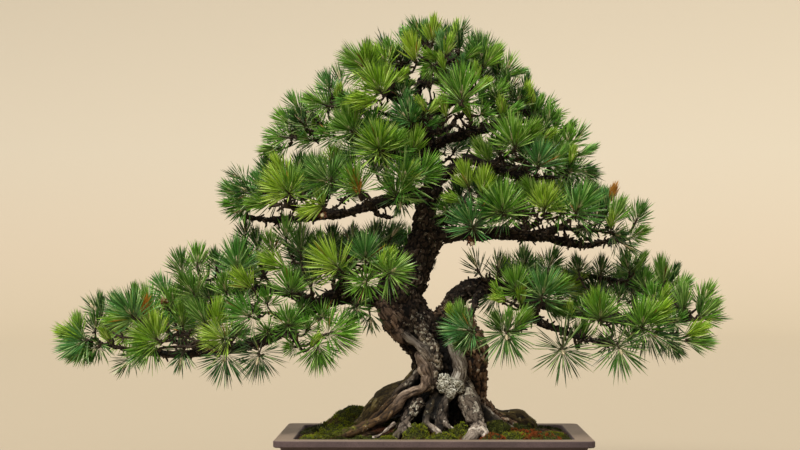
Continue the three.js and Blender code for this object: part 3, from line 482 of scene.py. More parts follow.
add_branch("lower_left_branch", 52, [((-436, 60, 258), (104, 46, 28), 17),
           ((-300, 84, 332), (106, 46, 30), 16), ((-165, 88, 370), (66, 42, 22), 9)], """
-58 2 304 20, -104 -4 317 16, -150 -14 318 14, -189 -20 303 12, -222 -15 277 11, -262 -10 253 10,
-310 0 236 9, -367 5 226 8, -424 0 222 6.5, -482 -8 226 5, -540 -14 236 3.5
-189 -20 303 8, -222 4 318 8, -268 18 328 7, -320 26 328 5, -378 20 320 4
-130 -9 318 9, -144 28 338 7, -162 58 354 6, -190 86 360 4
-158 -16 318 8, -150 -48 338 6, -136 -72 350 4
-228 -14 273 8, -226 -50 256 6, -222 -78 248 4
-340 2 231 6, -362 -32 236 5, -380 -60 242 3.5
-367 5 226 6, -400 42 232 5, -440 68 240 3.5
""", """
-573 -40 251 -0.95 -0.3 0.3 young bright
-576 -30 254 -0.1 -0.2 1 young green
-567 -45 243 -0.85 -0.45 -0.3 fan blue
-567 -30 238 -0.6 -0.3 -0.7 sparse green
-544 -10 289 -0.1 0 1 paddle dark
-548 -10 288 -0.6 0 0.7 sparse dark
-552 -20 262 0.1 -0.4 0.7 small dark
-521 -60 245 -0.5 -0.5 0.8 paddle bright
-483 -75 286 -0.5 -0.55 0.7 fan blue
-488 -65 281 -0.9 -0.5 -0.05 young green
-484 -50 307 0.05 -0.3 1 paddle green
-515 -20 295 -0.3 -0.1 0.9 small dark
-468 -60 291 0.25 -0.3 1 paddle dead
-442 -85 248 -0.8 -0.5 0.3 fan bright
-444 -80 253 -0.05 -0.4 1 young bright
-454 -80 237 -0.65 -0.6 -0.45 fan green
-489 -60 215 -0.6 -0.4 -0.6 sparse dark
-429 -50 266 0 -0.7 0.5 small blue
-386 -60 321 -0.5 -0.4 0.75 fan green
-436 -20 322 -0.5 -0.1 0.8 small blue
-434 -60 308 0 -0.8 0.4 cone cone
-413 0 358 -0.2 0 1 small dark
-388 0 368 0 0 1 small green
-405 -60 274 -0.1 -0.4 1 young green
-423 -50 303 0.1 -0.5 0.8 small green
-369 -65 278 -0.45 -0.5 0.8 young blue
-347 -75 272 0.15 -0.5 0.9 young bright
-334 -90 250 -0.8 -0.55 0.25 fan bright
-332 -85 222 -0.15 -0.75 -0.65 star dark
-279 -85 224 -0.1 -0.75 -0.65 star dark
-317 -70 255 0.2 -0.7 0.4 small green
-362 -40 311 0 -0.5 0.8 small dark
-334 -60 323 -0.1 -0.6 0.7 small green
-294 -80 333 -0.6 -0.5 0.6 young bright
-293 -88 286 -0.6 -0.7 0.35 fan green
-320 -20 365 0.0 -0.2 1 fan green
-290 0 397 -0.1 0 1 small dark
-357 0 365 -0.1 0 1 small dark
-231 -60 326 -0.1 -0.5 0.8 fan green
-232 -88 272 0 -0.75 0.6 fan green
-164 -95 259 0.75 -0.6 0.1 fan green
-195 -95 239 0.55 -0.5 0.75 paddle bright
-222 -80 237 -0.3 -0.7 0.1 small green
-243 -60 365 -0.7 -0.5 0.4 young bright
-156 -80 366 -0.6 -0.5 0.55 fan bright
-110 -60 379 0 -0.45 0.95 fan blue
-108 -95 341 -0.2 -0.9 -0.1 fan green
-70 -95 355 0.5 -0.75 0.35 open green
-84 -80 363 0.5 -0.4 0.8 young bright
-263 -20 391 -0.2 -0.1 1 small green
-217 -10 391 0 -0.1 1 fan green
-188 -20 397 0.1 -0.2 1 small green
-165 0 404 0 0 1 small dark
-134 0 406 0.1 0 1 small dark
-99 0 406 0.2 0 1 small dark
-71 10 411 0.5 0 0.8 sparse dark
-196 -50 339 0.2 -0.6 0.7 small dark
-180 -60 283 0.2 -0.8 0.3 small green
-212 -40 295 0 -0.7 0.3 small green
-103 -40 285 0.1 -0.5 -0.8 sparse dark
-266 -70 260 -0.1 -0.8 0.2 small green
-311 -40 311 0 -0.6 0.6 small dark
-143 -50 352 0 -0.7 0.3 small green
-546 -30 235 -0.3 -0.5 -0.4 small dark
-404 -60 225 -0.2 -0.5 -0.7 sparse dark
-185 -85 237 0.1 -0.7 -0.6 fan green
-125 -70 300 0.3 -0.7 -0.3 small green
-268 -50 305 0 -0.6 0.5 small green
-309 0 416 0 0 1 small dark
-242 0 412 -0.1 0 1 small green
-205 -70 263 0.1 -0.7 0.5 small green
-566 -40 230 -0.8 -0.4 -0.5 small green
-143 -60 276 0.6 -0.6 0.3 small green
""")
add_branch("lower_right_branch", 62, [((326, 76, 300), (90, 44, 30), 14),
           ((172, 80, 322), (82, 42, 22), 11)], """
8 4 260 20, 24 2 290 19, 38 2 315 17, 60 3 330 15, 93 4 333 13, 134 2 324 12, 170 0 308 10,
220 -6 294 9, 272 -10 284 7.5, 330 -6 276 6, 378 0 277 5, 422 0 284 3.5
134 2 324 8, 172 30 344 7, 222 40 350 6, 282 40 346 5, 340 30 334 3.5
150 0 317 8, 162 -36 284 7, 198 -62 264 6, 240 -80 250 5, 286 -88 240 3.5
82 4 330 8, 66 -34 310 6, 62 -66 290 4
272 -10 284 6, 300 -46 278 5, 318 -72 272 3.5
300 -8 280 6, 334 34 282 5, 366 64 286 3.5
""", """
56 -98 264 -0.95 -0.4 0.1 fan blue
58 -90 253 -0.7 -0.5 -0.4 small dark
45 -80 270 -0.1 -0.4 1 young green
36 -78 277 -0.4 -0.4 0.8 paddle bright
115 -100 260 0 -0.85 -0.4 star dark
107 -90 262 -0.35 -0.4 0.9 young dark
118 -92 267 0.05 -0.4 1 paddle green
131 -88 267 0.55 -0.4 0.75 young green
132 -80 328 0 -0.5 0.85 fan green
116 -80 310 -0.9 -0.5 0.3 paddle bright
110 -78 313 -0.5 -0.4 0.8 paddle bright
140 -75 307 0 -0.6 0.7 paddle bright
173 -88 318 0.1 -0.65 0.65 fan blue
183 -80 325 0.7 -0.5 0.5 young green
184 -70 305 0.6 -0.6 -0.3 young dark
204 -105 233 0 -0.95 -0.2 star dark
215 -85 285 0 -0.4 1 paddle bright
265 -95 283 0 -0.75 0.6 fan green
259 -90 291 -0.1 -0.4 1 young green
331 -92 271 0.05 -0.7 0.7 fan green
345 -88 282 0.65 -0.5 0.6 young bright
342 -85 262 0.55 -0.7 -0.35 star dark
293 -100 237 0.15 -0.85 -0.45 star dark
363 -60 307 0.4 -0.4 0.9 paddle bright
73 -20 360 -0.4 -0.1 0.8 sparse dark
105 -20 357 0.1 0 1 sparse dark
148 -20 363 0 0 1 small dark
188 -10 363 0.4 0 0.9 small dark
238 -10 357 -0.2 0 1 small dark
275 0 355 0.1 0 1 small dark
319 -10 360 -0.2 -0.2 1 small green
330 -10 360 0.5 -0.2 0.9 paddle green
374 -10 340 -0.1 -0.1 1 young dark
386 -10 340 0.45 -0.1 1 paddle dark
405 -30 299 -0.1 -0.3 1 young blue
401 -10 325 0.5 -0.1 0.7 small green
431 -30 290 0.05 -0.2 1 paddle dark
434 -30 285 0.7 -0.2 0.6 young green
439 -20 280 0.95 -0.2 0.15 sparse green
408 -50 254 0.8 -0.4 0.4 young bright
410 -50 245 0.95 -0.3 -0.05 young green
378 -60 245 0.5 -0.5 -0.6 small dark
344 -30 332 0 -0.5 0.8 small green
356 -50 308 -0.3 -0.5 0.8 small green
299 -40 311 0 -0.6 0.7 small dark
281 -60 242 -0.2 -0.6 0.1 small dark
318 -60 250 0 -0.7 0.4 small green
234 -60 244 0.2 -0.5 0.8 young dark
239 -60 292 -0.4 -0.6 0.4 small green
390 -50 276 0.2 -0.7 0.4 small green
438 -20 309 0.4 -0.2 0.8 small green
""")
add_branch("middle_left_branch", 32, [((-208, 74, 486), (92, 48, 24), 14)], """
-4 -4 482 13, -44 -22 479 11, -78 -32 472 10, -112 -30 463 9, -146 -20 452 8, -190 -10 446 7,
-235 0 443 6, -282 0 444 4.5, -318 -8 450 3
-150 -20 452 6, -178 28 458 5, -206 64 464 3.5
-190 -10 446 6, -218 -46 456 5, -236 -70 464 3.5
-98 -32 467 5, -92 -34 452 5, -68 -36 445 4
""", """
-235 -95 486 -0.65 -0.6 0.5 fan bright
-228 -85 484 0.15 -0.5 0.9 fan green
-278 -40 494 -0.5 -0.3 0.8 small blue
-268 -20 517 -0.2 -0.1 1 small dark
-297 -30 485 -0.75 -0.3 0.4 small dark
-306 -20 461 -0.8 -0.2 -0.3 sparse dark
-270 -60 468 -0.7 -0.5 0 young green
-180 -60 506 -0.5 -0.4 0.9 young blue
-169 -85 502 -0.85 -0.5 0.2 fan green
-165 -70 506 0.5 -0.4 0.9 young blue
-121 -88 486 -0.2 -0.4 1 paddle dead
-121 -85 491 -0.3 -0.65 0.65 fan green
-58 -92 479 0.45 -0.6 0.6 fan green
-62 -82 481 -0.4 -0.5 0.8 young blue
-47 -85 494 0.4 -0.4 0.9 young bright
-54 -70 475 0 -0.6 -0.7 sparse dark
-182 -85 462 -0.9 -0.5 -0.3 young bright
-178 -85 465 -0.3 -0.4 0.9 paddle bright
-178 -70 451 0 -0.9 -0.2 cone cone
-241 -60 511 -0.5 -0.4 0.9 young bright
-218 -20 520 0 -0.2 1 small dark
-163 -30 534 0 -0.3 1 small bright
-136 -20 526 0 0 1 small green
-94 -20 523 -0.2 -0.1 1 small dark
-77 -20 520 0.3 -0.1 1 sparse green
-313 0 508 -0.8 0 0.5 sparse dark
-314 -20 466 -0.9 -0.2 0.1 small green
-317 -10 483 -0.75 -0.1 0.4 small green
""")
add_branch("middle_right_branch", 38, [((200, 76, 458), (94, 46, 26), 14)], """
-10 2 408 14, 34 0 418 12, 77 -5 419 11.5, 118 -5 419 9, 167 0 415 7.5, 211 4 408 7, 256 0 402 5.5,
304 -6 411 3.5
118 -5 417 7, 146 36 430 5.5, 178 72 438 3.5
167 0 411 6, 190 -42 420 5, 210 -70 434 3.5
60 -3 419 7, 72 -36 432 5.5, 82 -66 448 3.5
79 -20 425 5, 118 -20 427 4.5, 158 -20 422 4, 190 -20 428 3.8, 223 -20 430 3.4
216 -20 428 3.2, 236 -20 420 3, 259 -20 404 2.8
122 -14 427 3, 138 -14 412 3
158 -14 422 3, 176 -14 406 3
189 -14 427 2.8, 201 -14 404 2.8
212 -12 429 2.8, 224 -12 401 2.8
230 -12 424 2.6, 250 -12 399 2.6
""", """
42 -80 470 -0.75 -0.5 0.25 paddle bright
55 -75 496 -0.3 -0.5 0.9 young bright
79 -75 485 0.1 -0.5 0.9 young bright
110 -95 455 0 -0.6 0.75 fan green
108 -85 452 -0.7 -0.6 0.15 fan dark
61 -90 430 -0.25 -0.75 0.5 fan blue
61 -85 406 0 -0.9 -0.3 cone cone
178 -90 459 0.1 -0.55 0.85 fan bright
174 -92 462 -0.05 -0.4 1 young bright
163 -70 477 -0.5 -0.4 0.8 young green
229 -85 454 0.4 -0.6 0.7 fan green
227 -88 457 0.1 -0.4 1 paddle blue
202 -80 451 -0.1 -0.8 0.3 small green
284 -75 429 0 -0.6 0.6 paddle bright
280 -40 462 -0.1 -0.3 1 paddle blue
289 -60 439 0.4 -0.4 0.9 young green
286 -30 470 0.3 -0.3 1 paddle dead
326 -20 415 0.75 -0.3 0.4 small green
289 -60 418 0.4 -0.7 -0.1 small dark
304 -40 404 0.7 -0.4 -0.4 sparse dark
249 0 473 0.2 -0.1 1 small dark
265 -30 441 0.1 -0.4 0.9 small dark
148 -40 465 0.2 -0.4 0.9 small green
25 -60 453 -0.4 -0.7 0.3 small green
330 -30 441 0.3 -0.4 0.8 small green
245 -50 428 0.1 -0.7 -0.2 small dark
""")
add_branch("upper_right_branch", 32, [((150, 60, 540), (66, 40, 26), 10)], """
6 -4 510 11, 36 -10 527 10, 60 -15 540 9.5, 90 -12 532 8, 118 -6 520 7, 152 0 510 5.5, 196 0 512 3.5
90 -12 532 6, 104 -44 536 5, 118 -70 546 3.5
118 -6 520 5, 144 34 522 4.5, 164 64 528 3.5
""", """
86 -75 538 -0.5 -0.5 0.8 young green
127 -88 561 -0.25 -0.5 0.85 fan green
133 -90 566 0.05 -0.4 1 paddle bright
145 -82 569 0.55 -0.5 0.7 young green
171 -70 565 0.75 -0.4 0.6 paddle bright
160 -70 569 0.1 -0.4 1 paddle bright
167 -88 529 0.1 -0.55 0.9 fan blue
191 -60 531 0.5 -0.5 0.7 small green
217 -50 536 -0.1 -0.4 1 paddle green
221 -60 534 0.2 -0.5 1 paddle bright
239 -20 548 0.9 -0.2 0.45 paddle green
236 -20 523 0.85 -0.3 -0.1 small dark
247 -10 521 0.85 -0.1 -0.25 sparse dark
220 -40 517 0.1 -0.7 0.2 small dark
107 -60 552 -0.1 -0.6 0.6 small dark
195 -30 555 0.1 -0.4 0.9 small green
149 -60 543 0 -0.7 0.4 small dark
""")
add_branch("high_right_branch", 24, [((130, 62, 620), (66, 36, 24), 9)], """
-9 0 562 8, 27 -4 575 7.5, 60 2 585 7, 101 6 596 6, 142 6 604 4.5, 186 0 606 3
70 4 588 5, 92 38 596 4, 112 60 604 3
""", """
200 -20 590 0.1 -0.2 1 paddle green
207 -20 583 0.75 -0.2 0.6 paddle green
216 -30 564 0.2 -0.4 0.9 small green
229 -10 569 0.6 -0.1 0.7 sparse green
176 -40 588 -0.3 -0.5 0.7 small dark
187 -20 598 0.1 -0.3 0.9 small green
163 -20 608 0.1 -0.4 0.8 small green
""")
add_branch("high_left_branch", 24, [((-158, 60, 606), (76, 38, 30), 12)], """
-12 0 576 8, -46 -2 586 7.5, -80 -8 600 7, -112 -10 604 6, -153 -6 596 5, -194 -4 588 4, -232 -8 584 3
-96 -9 602 5, -122 -14 624 4.5, -148 -22 634 3
-130 -8 600 4.5, -150 36 600 4, -170 62 600 3
""", """
-168 -40 652 -0.3 -0.3 0.9 small blue
-154 -60 635 0.1 -0.5 0.9 paddle bright
-178 -40 629 -0.8 -0.3 0.3 small green
-131 -75 583 -0.65 -0.5 0.55 fan green
-138 -60 589 -0.1 -0.4 0.9 young green
-128 -65 596 0.1 -0.4 1 paddle bright
-84 -88 551 -0.3 -0.6 0.7 fan green
-86 -90 554 0.2 -0.4 1 paddle bright
-71 -82 553 0.6 -0.5 0.7 young green
-102 -60 587 0.0 -0.4 0.9 small green
-162 -60 577 -0.7 -0.5 0.2 small green
-60 -70 549 0.7 -0.6 0.0 small green
-196 0 610 -0.6 0 0.6 sparse dark
-200 -10 573 -0.9 -0.2 0.3 small green
-152 10 666 -0.2 0 1 sparse dark
-217 20 578 -0.9 0 0.4 sparse dark
-234 -20 598 -0.7 -0.1 0.6 small green
-242 -30 576 -0.9 -0.2 0.1 small green
-220 -10 622 -0.5 -0.1 0.8 small green
-249 -20 559 -0.8 -0.2 -0.1 small green
-212 -40 597 -0.5 -0.5 0.6 small dark
""")
add_branch("third_left_branch", 26, [((-96, 40, 552), (66, 50, 22), 8)], """
-1 -2 530 7.5, -38 -16 544 6, -74 -30 550 5, -108 -44 552 3.5
""", """
-88 -95 554 0 -0.7 0.7 open bright
-34 -60 550 0.2 -0.5 0.8 young green
-62 -40 570 0.1 -0.4 0.9 fan green
-47 -88 503 0.1 -0.8 0.5 open green
-20 -70 511 0.5 -0.6 0.6 fan green
""")
add_branch("crown_left", 20, [((-86, 52, 678), (50, 44, 34), 9)], """
-19 2 600 7, -44 0 628 6, -76 -4 650 5, -112 -6 664 3.5
-58 -2 638 4.5, -64 -34 642 4, -74 -58 648 3
-24 -22 590 4.5, -48 -22 595 4, -71 -22 611 3.2, -94 -22 621 2.6
-15 -18 575 4.5, -37 -18 574 3.6, -61 -18 569 2.8
""", """
-107 -60 688 0 -0.45 0.9 young bright
-109 -50 688 -0.75 -0.35 0.45 fan green
-86 -85 647 -0.4 -0.55 0.65 fan bright
-77 -60 659 0.08 -0.4 1 paddle bright
-93 -50 660 -0.1 -0.3 1 young green
-65 -20 711 -0.5 -0.3 0.8 small green
-77 -40 697 -0.5 -0.4 0.6 small bright
-48 0 729 -0.1 -0.1 1 sparse blue
-34 -20 725 0 -0.3 1 paddle green
-30 -60 703 -0.3 -0.5 0.85 young bright
-53 -10 701 -0.3 -0.4 0.6 small dark
-61 -50 664 0.6 -0.5 0.6 paddle bright
-131 -60 632 -0.9 -0.5 0.1 small green
-95 -80 632 -0.9 -0.5 0 young bright
-51 -40 642 0.2 -0.6 0.5 small dark
-77 10 722 -0.3 0 1 sparse dark
-40 -60 621 -0.05 -0.4 1 paddle blue
-12 -65 617 -0.6 -0.4 0.8 paddle bright
-6 -65 614 0.65 -0.5 0.7 paddle bright
20 -65 611 -0.2 -0.5 0.9 paddle bright
-41 -70 602 -0.65 -0.5 0.6 small blue
-35 -65 599 0.3 -0.6 0.5 paddle green
-19 -50 609 -0.1 -0.6 0.7 small blue
-11 -60 593 0.85 -0.4 0.5 paddle green
30 -60 614 0.75 -0.4 0.5 paddle green
""")
add_branch("crown_right", 20, [((66, 52, 676), (52, 44, 34), 9)], """
-18 2 596 7, 16 2 626 6, 52 2 648 5, 92 0 662 3.5
30 2 635 4.5, 40 -34 634 4, 46 -62 634 3
-9 -24 582 5, 17 -24 588 4.2, 37 -24 606 3.4, 53 -24 616 2.8
25 -26 588 2.6, 38 -26 596 2.6, 55 -26 583 2.6, 76 -26 588 2.6
43 -22 609 2.8, 60 -22 593 2.6, 86 -22 596 2.6, 118 -22 605 2.6
""", """
80 -20 701 -0.15 -0.2 1 fan dark
85 -40 693 0.65 -0.3 0.8 young green
104 -10 677 0.0 -0.2 1 paddle dark
68 -60 668 0.0 -0.5 0.9 paddle bright
69 -60 649 0.7 -0.5 0.6 paddle bright
118 -30 682 0.4 -0.2 1 sparse green
124 -30 678 0.95 -0.2 0.3 paddle green
123 -45 654 -0.3 -0.6 0.7 small dark
152 0 657 0.1 0 1 paddle dark
151 -40 632 0.1 -0.3 1 paddle bright
163 -30 626 -0.2 -0.5 0.8 paddle bright
170 -20 621 0.35 -0.2 1 paddle green
178 0 619 0.7 -0.1 0.8 sparse green
111 -70 610 -0.15 -0.5 0.9 paddle bright
117 -70 610 0.85 -0.4 0.5 paddle green
98 -60 640 0.5 -0.6 0.6 small green
108 -60 630 -0.6 -0.6 0.5 small dark
83 -50 628 -0.3 -0.5 0.8 paddle blue
137 -40 629 0.1 -0.6 0.6 small dark
79 0 675 0.1 -0.2 1 small dark
62 -10 694 0 -0.3 1 small green
""")
add_branch("leader", 12, [((-8, 52, 706), (56, 40, 26), 9)], """
-20 2 612 8.5, -24 2 650 6.5, -15 0 682 5, -6 0 706 3.5
-21 2 664 4.5, -14 -30 664 4, -8 -58 662 3
""", """
-10 -30 739 -0.1 -0.2 1 paddle blue
-19 -10 740 -0.5 -0.1 0.9 small dark
-1 -40 733 0.05 -0.3 1 young bright
-25 -20 739 -0.9 -0.3 0.5 small green
42 0 744 0.5 -0.2 0.9 sparse dark
36 10 741 0.1 0 1 paddle bright
14 -55 715 -0.12 -0.3 1 paddle blue
20 -60 711 0.35 -0.3 1 paddle bright
42 -30 721 0.1 -0.3 1 paddle dark
53 -40 704 0.6 -0.4 0.4 paddle green
6 -60 701 -0.7 -0.7 0.3 paddle bright
18 -62 685 -0.3 -0.6 0.9 paddle bright
-2 -50 690 -0.5 -0.6 -0.4 small green
45 -85 635 0 -0.5 0.9 fan green
48 -30 679 0 -0.3 1 paddle blue
30 -50 654 -0.6 -0.4 0.7 small green
60 -60 606 -0.35 -0.4 0.9 paddle bright
76 -70 610 0.3 -0.9 0.2 small green
23 20 732 0 0 1 small dark
62 10 723 0.2 0 1 sparse dark
""")
add_branch("low_back_branch", 44, [((-86, 134, 374), (76, 34, 22), 13)], """
-44 12 356 12, -52 60 366 10, -70 98 366 8, -92 128 360 6, -116 150 358 4
""")
add_branch("right_back_branch", 40, [((96, 140, 474), (74, 36, 26), 13)], """
-14 4 430 11, 26 40 446 9, 66 78 454 7.5, 104 104 456 6, 140 122 456 4
""")
add_branch("middle_back_branch", 30, [((-6, 124, 558), (86, 44, 28), 14)], """
-2 0 504 10, 6 44 522 8, 6 84 534 6.5, -4 116 540 4.5
""")
add_branch("high_back_branch", 24, [((0, 104, 646), (72, 34, 28), 11)], """
-12 4 580 8, -8 38 604 6.5, -4 70 622 5, 0 92 630 3.5
""")
print("branches:", len(BRANCHES), "listed tufts:", sum(len(b["tufts"]) for b in BRANCHES.values()))

# %% [markdown]
# The strands of the trunk and the surface roots, from the top or the trunk outwards, each with its
# finish. Two bare strands cross the front: a tan one that runs out into the long left root, and a grey
# one in the middle. Between them stands a ridge of lichened bark, and a dark hollow parts them from
# the column on the right.

# %% Strands of the trunk
STRANDS = """
dark bark: 22 8 74 48, 21 8 92 47, 18 7 138 40, 12 6 179 37, 0 6 217 36, -20 5 253 38, -48 6 289 39,
-56 8 319 35, -43 10 350 34, -27 8 381 31, -13 4 409 26, -14 0 439 19, -12 -4 467 17, -1 -6 491 17,
5 -4 513 16, -4 0 536 14.5, -9 3 562 13.5, -14 3 590 11.5, -20 2 614 9.5
worn bark: -86 -8 316 9, -80 -18 298 13, -68 -26 276 15, -56 -30 256 11, -48 -28 244 6
red bark: 12 4 292 18, 44 4 278 21, 62 0 237 22, 66 -2 196 22, 68 0 155 21, 82 2 126 16, 116 0 106 11,
158 -4 92 8, 186 -6 82 5
bare grey: -50 -30 260 4, -38 -41 249 6, -26 -46 239 6.5, -15 -50 229 6.5, -7 -50 217 5
bare tan: -26 -38 226 5, -19 -46 213 8, -12 -49 199 10, -10 -50 184 9.5, -16 -52 170 9, -32 -57 164 7.5,
-48 -63 155 7, -60 -68 141 7.5
brown root: -56 -66 143 7.5, -84 -82 122 8.5, -118 -102 107 8.5, -158 -118 96 7.5, -190 -128 86 5
lichened bark: -30 -30 282 9, -16 -39 258 10, -2 -42 230 10, 3 -44 202 10.5, -1 -44 180 9, -7 -42 162 8
bare grey: 27 -24 258 7, 32 -37 238 10.5, 41 -43 216 13, 42 -46 196 13, 37 -50 178 11, 28 -52 163 9,
22 -50 150 6
dark root: 24 -46 160 7, 18 -54 146 8.5, 14 -58 128 10, 11 -60 110 10.5, 9 -60 90 10
grey root: 16 -64 118 5.5, 26 -80 108 5, 40 -98 97 5, 54 -110 85 4
grey root: 46 -28 188 11, 53 -42 162 15, 60 -56 140 16, 66 -70 120 14, 74 -84 106 10
pale root: 74 -84 106 9, 84 -98 96 7, 96 -110 87 5.5, 106 -117 79 4
pale root: 70 -80 108 9, 64 -96 101 9.5, 57 -106 92 9, 54 -111 82 7
olive root: -6 0 200 16, -28 -4 178 18, -52 -8 158 20, -76 -12 146 20, -98 -16 126 18, -118 -20 104 14,
-142 -28 86 9
grey root: -20 -30 196 6, -34 -34 180 7, -50 -36 166 7, -64 -36 156 5
brown root: -50 -30 160 9, -70 -40 144 8, -90 -52 126 8, -108 -62 106 7
lichened bark: -20 -50 150 10, -36 -64 131 9, -46 -80 114 7
grey root: -44 -78 116 7, -52 -92 104 6.5, -60 -106 94 5, -70 -116 83 4
pale root: -48 -88 106 5, -42 -104 95 4.5, -36 -114 85 4
mossy root: 4 -34 158 12, -8 -56 128 10, -16 -84 104 6, -20 -104 86 4
pale root: -10 -72 114 5, 2 -86 105 5.5, 14 -102 95 5, 22 -114 85 4
pale root: -50 -68 124 4, -40 -84 114 3.5, -28 -96 104 3, -18 -112 90 2.5
pale root: 18 -70 116 4, 32 -84 107 3.5, 46 -97 99 3, 58 -114 88 2.5
pale root: -62 -84 116 4, -78 -98 104 3.5, -94 -112 94 3, -108 -124 84 2.5
olive root: 60 10 146 17, 92 18 121 14, 116 28 115 14, 139 34 113 16, 158 38 100 13, 176 38 84 6
pale root: 74 -10 138 7, 96 -18 124 6, 118 -24 108 4.5, 142 -32 92 4
mossy root: 72 -14 130 14, 92 -30 112 14, 112 -44 98 11, 130 -56 84 7
dark bark: 18 26 165 21, 22 52 134 16, 34 78 111 12, 52 100 94 8, 64 114 82 5
brown bark: -12 20 170 19, -34 42 138 15, -58 62 123 11, -84 82 104 9, -104 98 84 5
dark bark: -6 -10 172 16, -28 -16 142 16, -46 -24 114 12, -60 -30 90 8
mossy root: -100 8 92 14, -72 4 102 15, -40 0 106 17, -10 0 106 20
dark bark: 52 18 236 14, 40 32 196 16, 34 36 160 15, 40 46 132 10
lichened bark: -46 32 300 13, -26 38 262 14, -6 38 218 14, -2 36 180 12
"""
trunk_finishes, strand_lines = [], []
for number, line in enumerate(STRANDS.replace(",\n", ", ").strip().splitlines()):
    finish, points = line.split(":")
    trunk_finishes.append(finish)
    strand_lines.append(gnarled(read_lines(points)[0], 1.2, number))
print("strands:", len(strand_lines))

# %% Which strand a point lies on
# The columns of a strand's samples. Across and beside are two directions square to the strand.
PLACE, RADIUS, ACROSS, BESIDE, LENGTH, STRAND = slice(0, 3), 3, slice(4, 7), slice(7, 10), 10, 11
SKEW = (0.31, 0.87, 0.39)
BLOCK = 4000


def strand_samples(strands):
    """Points along all strands, with each one's frame, its length so far and its strand's number."""
    table = []
    for number, points in enumerate(strands):
        steps = np.gradient(points[:, PLACE], axis=0)
        ahead = steps / np.linalg.norm(steps, axis=1)[:, None]
        across = np.cross(ahead, SKEW)
        across /= np.linalg.norm(across, axis=1)[:, None]
        beside = np.cross(ahead, across)
        numbers = np.full(len(points), number)
        table.append(np.column_stack([points, across, beside, lengths_along(points), numbers]))
    return np.vstack(table)


def lie_on_strands(places, samples):
    """Each place's distance outside every strand, and its own nearest sample. Millimetres."""
    starts = np.flatnonzero(np.diff(samples[:, STRAND], prepend=-1))
    outside, nearest = [], []
    for block in np.array_split(places, max(1, len(places) // BLOCK)):
        gap = np.linalg.norm(block[:, None] - samples[None, :, PLACE], axis=2) - samples[:, RADIUS]
        outside.append(np.minimum.reduceat(gap, starts, axis=1))
        nearest.append(gap.argmin(axis=1))
    return np.vstack(outside), np.concatenate(nearest)


# %% [markdown]
# Plates of bark are the cells of a Voronoi pattern, stretched along the strand. The distance to the
# nearest crack raises each plate, and a finer pattern breaks its top. Bare wood has only fine lines
# along the strand. Both move the skin itself, so the outline is rough too.

# %% Bark
PLATE_SCALE = 1 / np.array([15, 8, 8])
GRAIN_SCALE = 1 / np.array([70, 3.4, 3.4])
SMALL_PLATES = 2.3
CRACK_SHARE = 0.34
BLEND = 3.0
BIG_RISE, SMALL_RISE = 0.72, 0.28
WOBBLE, WOBBLE_SIZE = 0.35, 9
STRAND_SHIFT = 9.7
LEVEL_RELIEF = 0.62
SEAM_FROM, SEAM_WIDTH = 0.1, 2.0
SWELLS = ((34, 3.4), (12, 2.2))
MOSS_TOP = 124
MOSS_FADE = 26


def eased(value, low, high):
    """0 below low, 1 above high, and a smooth step between them."""
    t = min(max((value - low) / (high - low), 0), 1)
    return t * t * (3 - 2 * t)


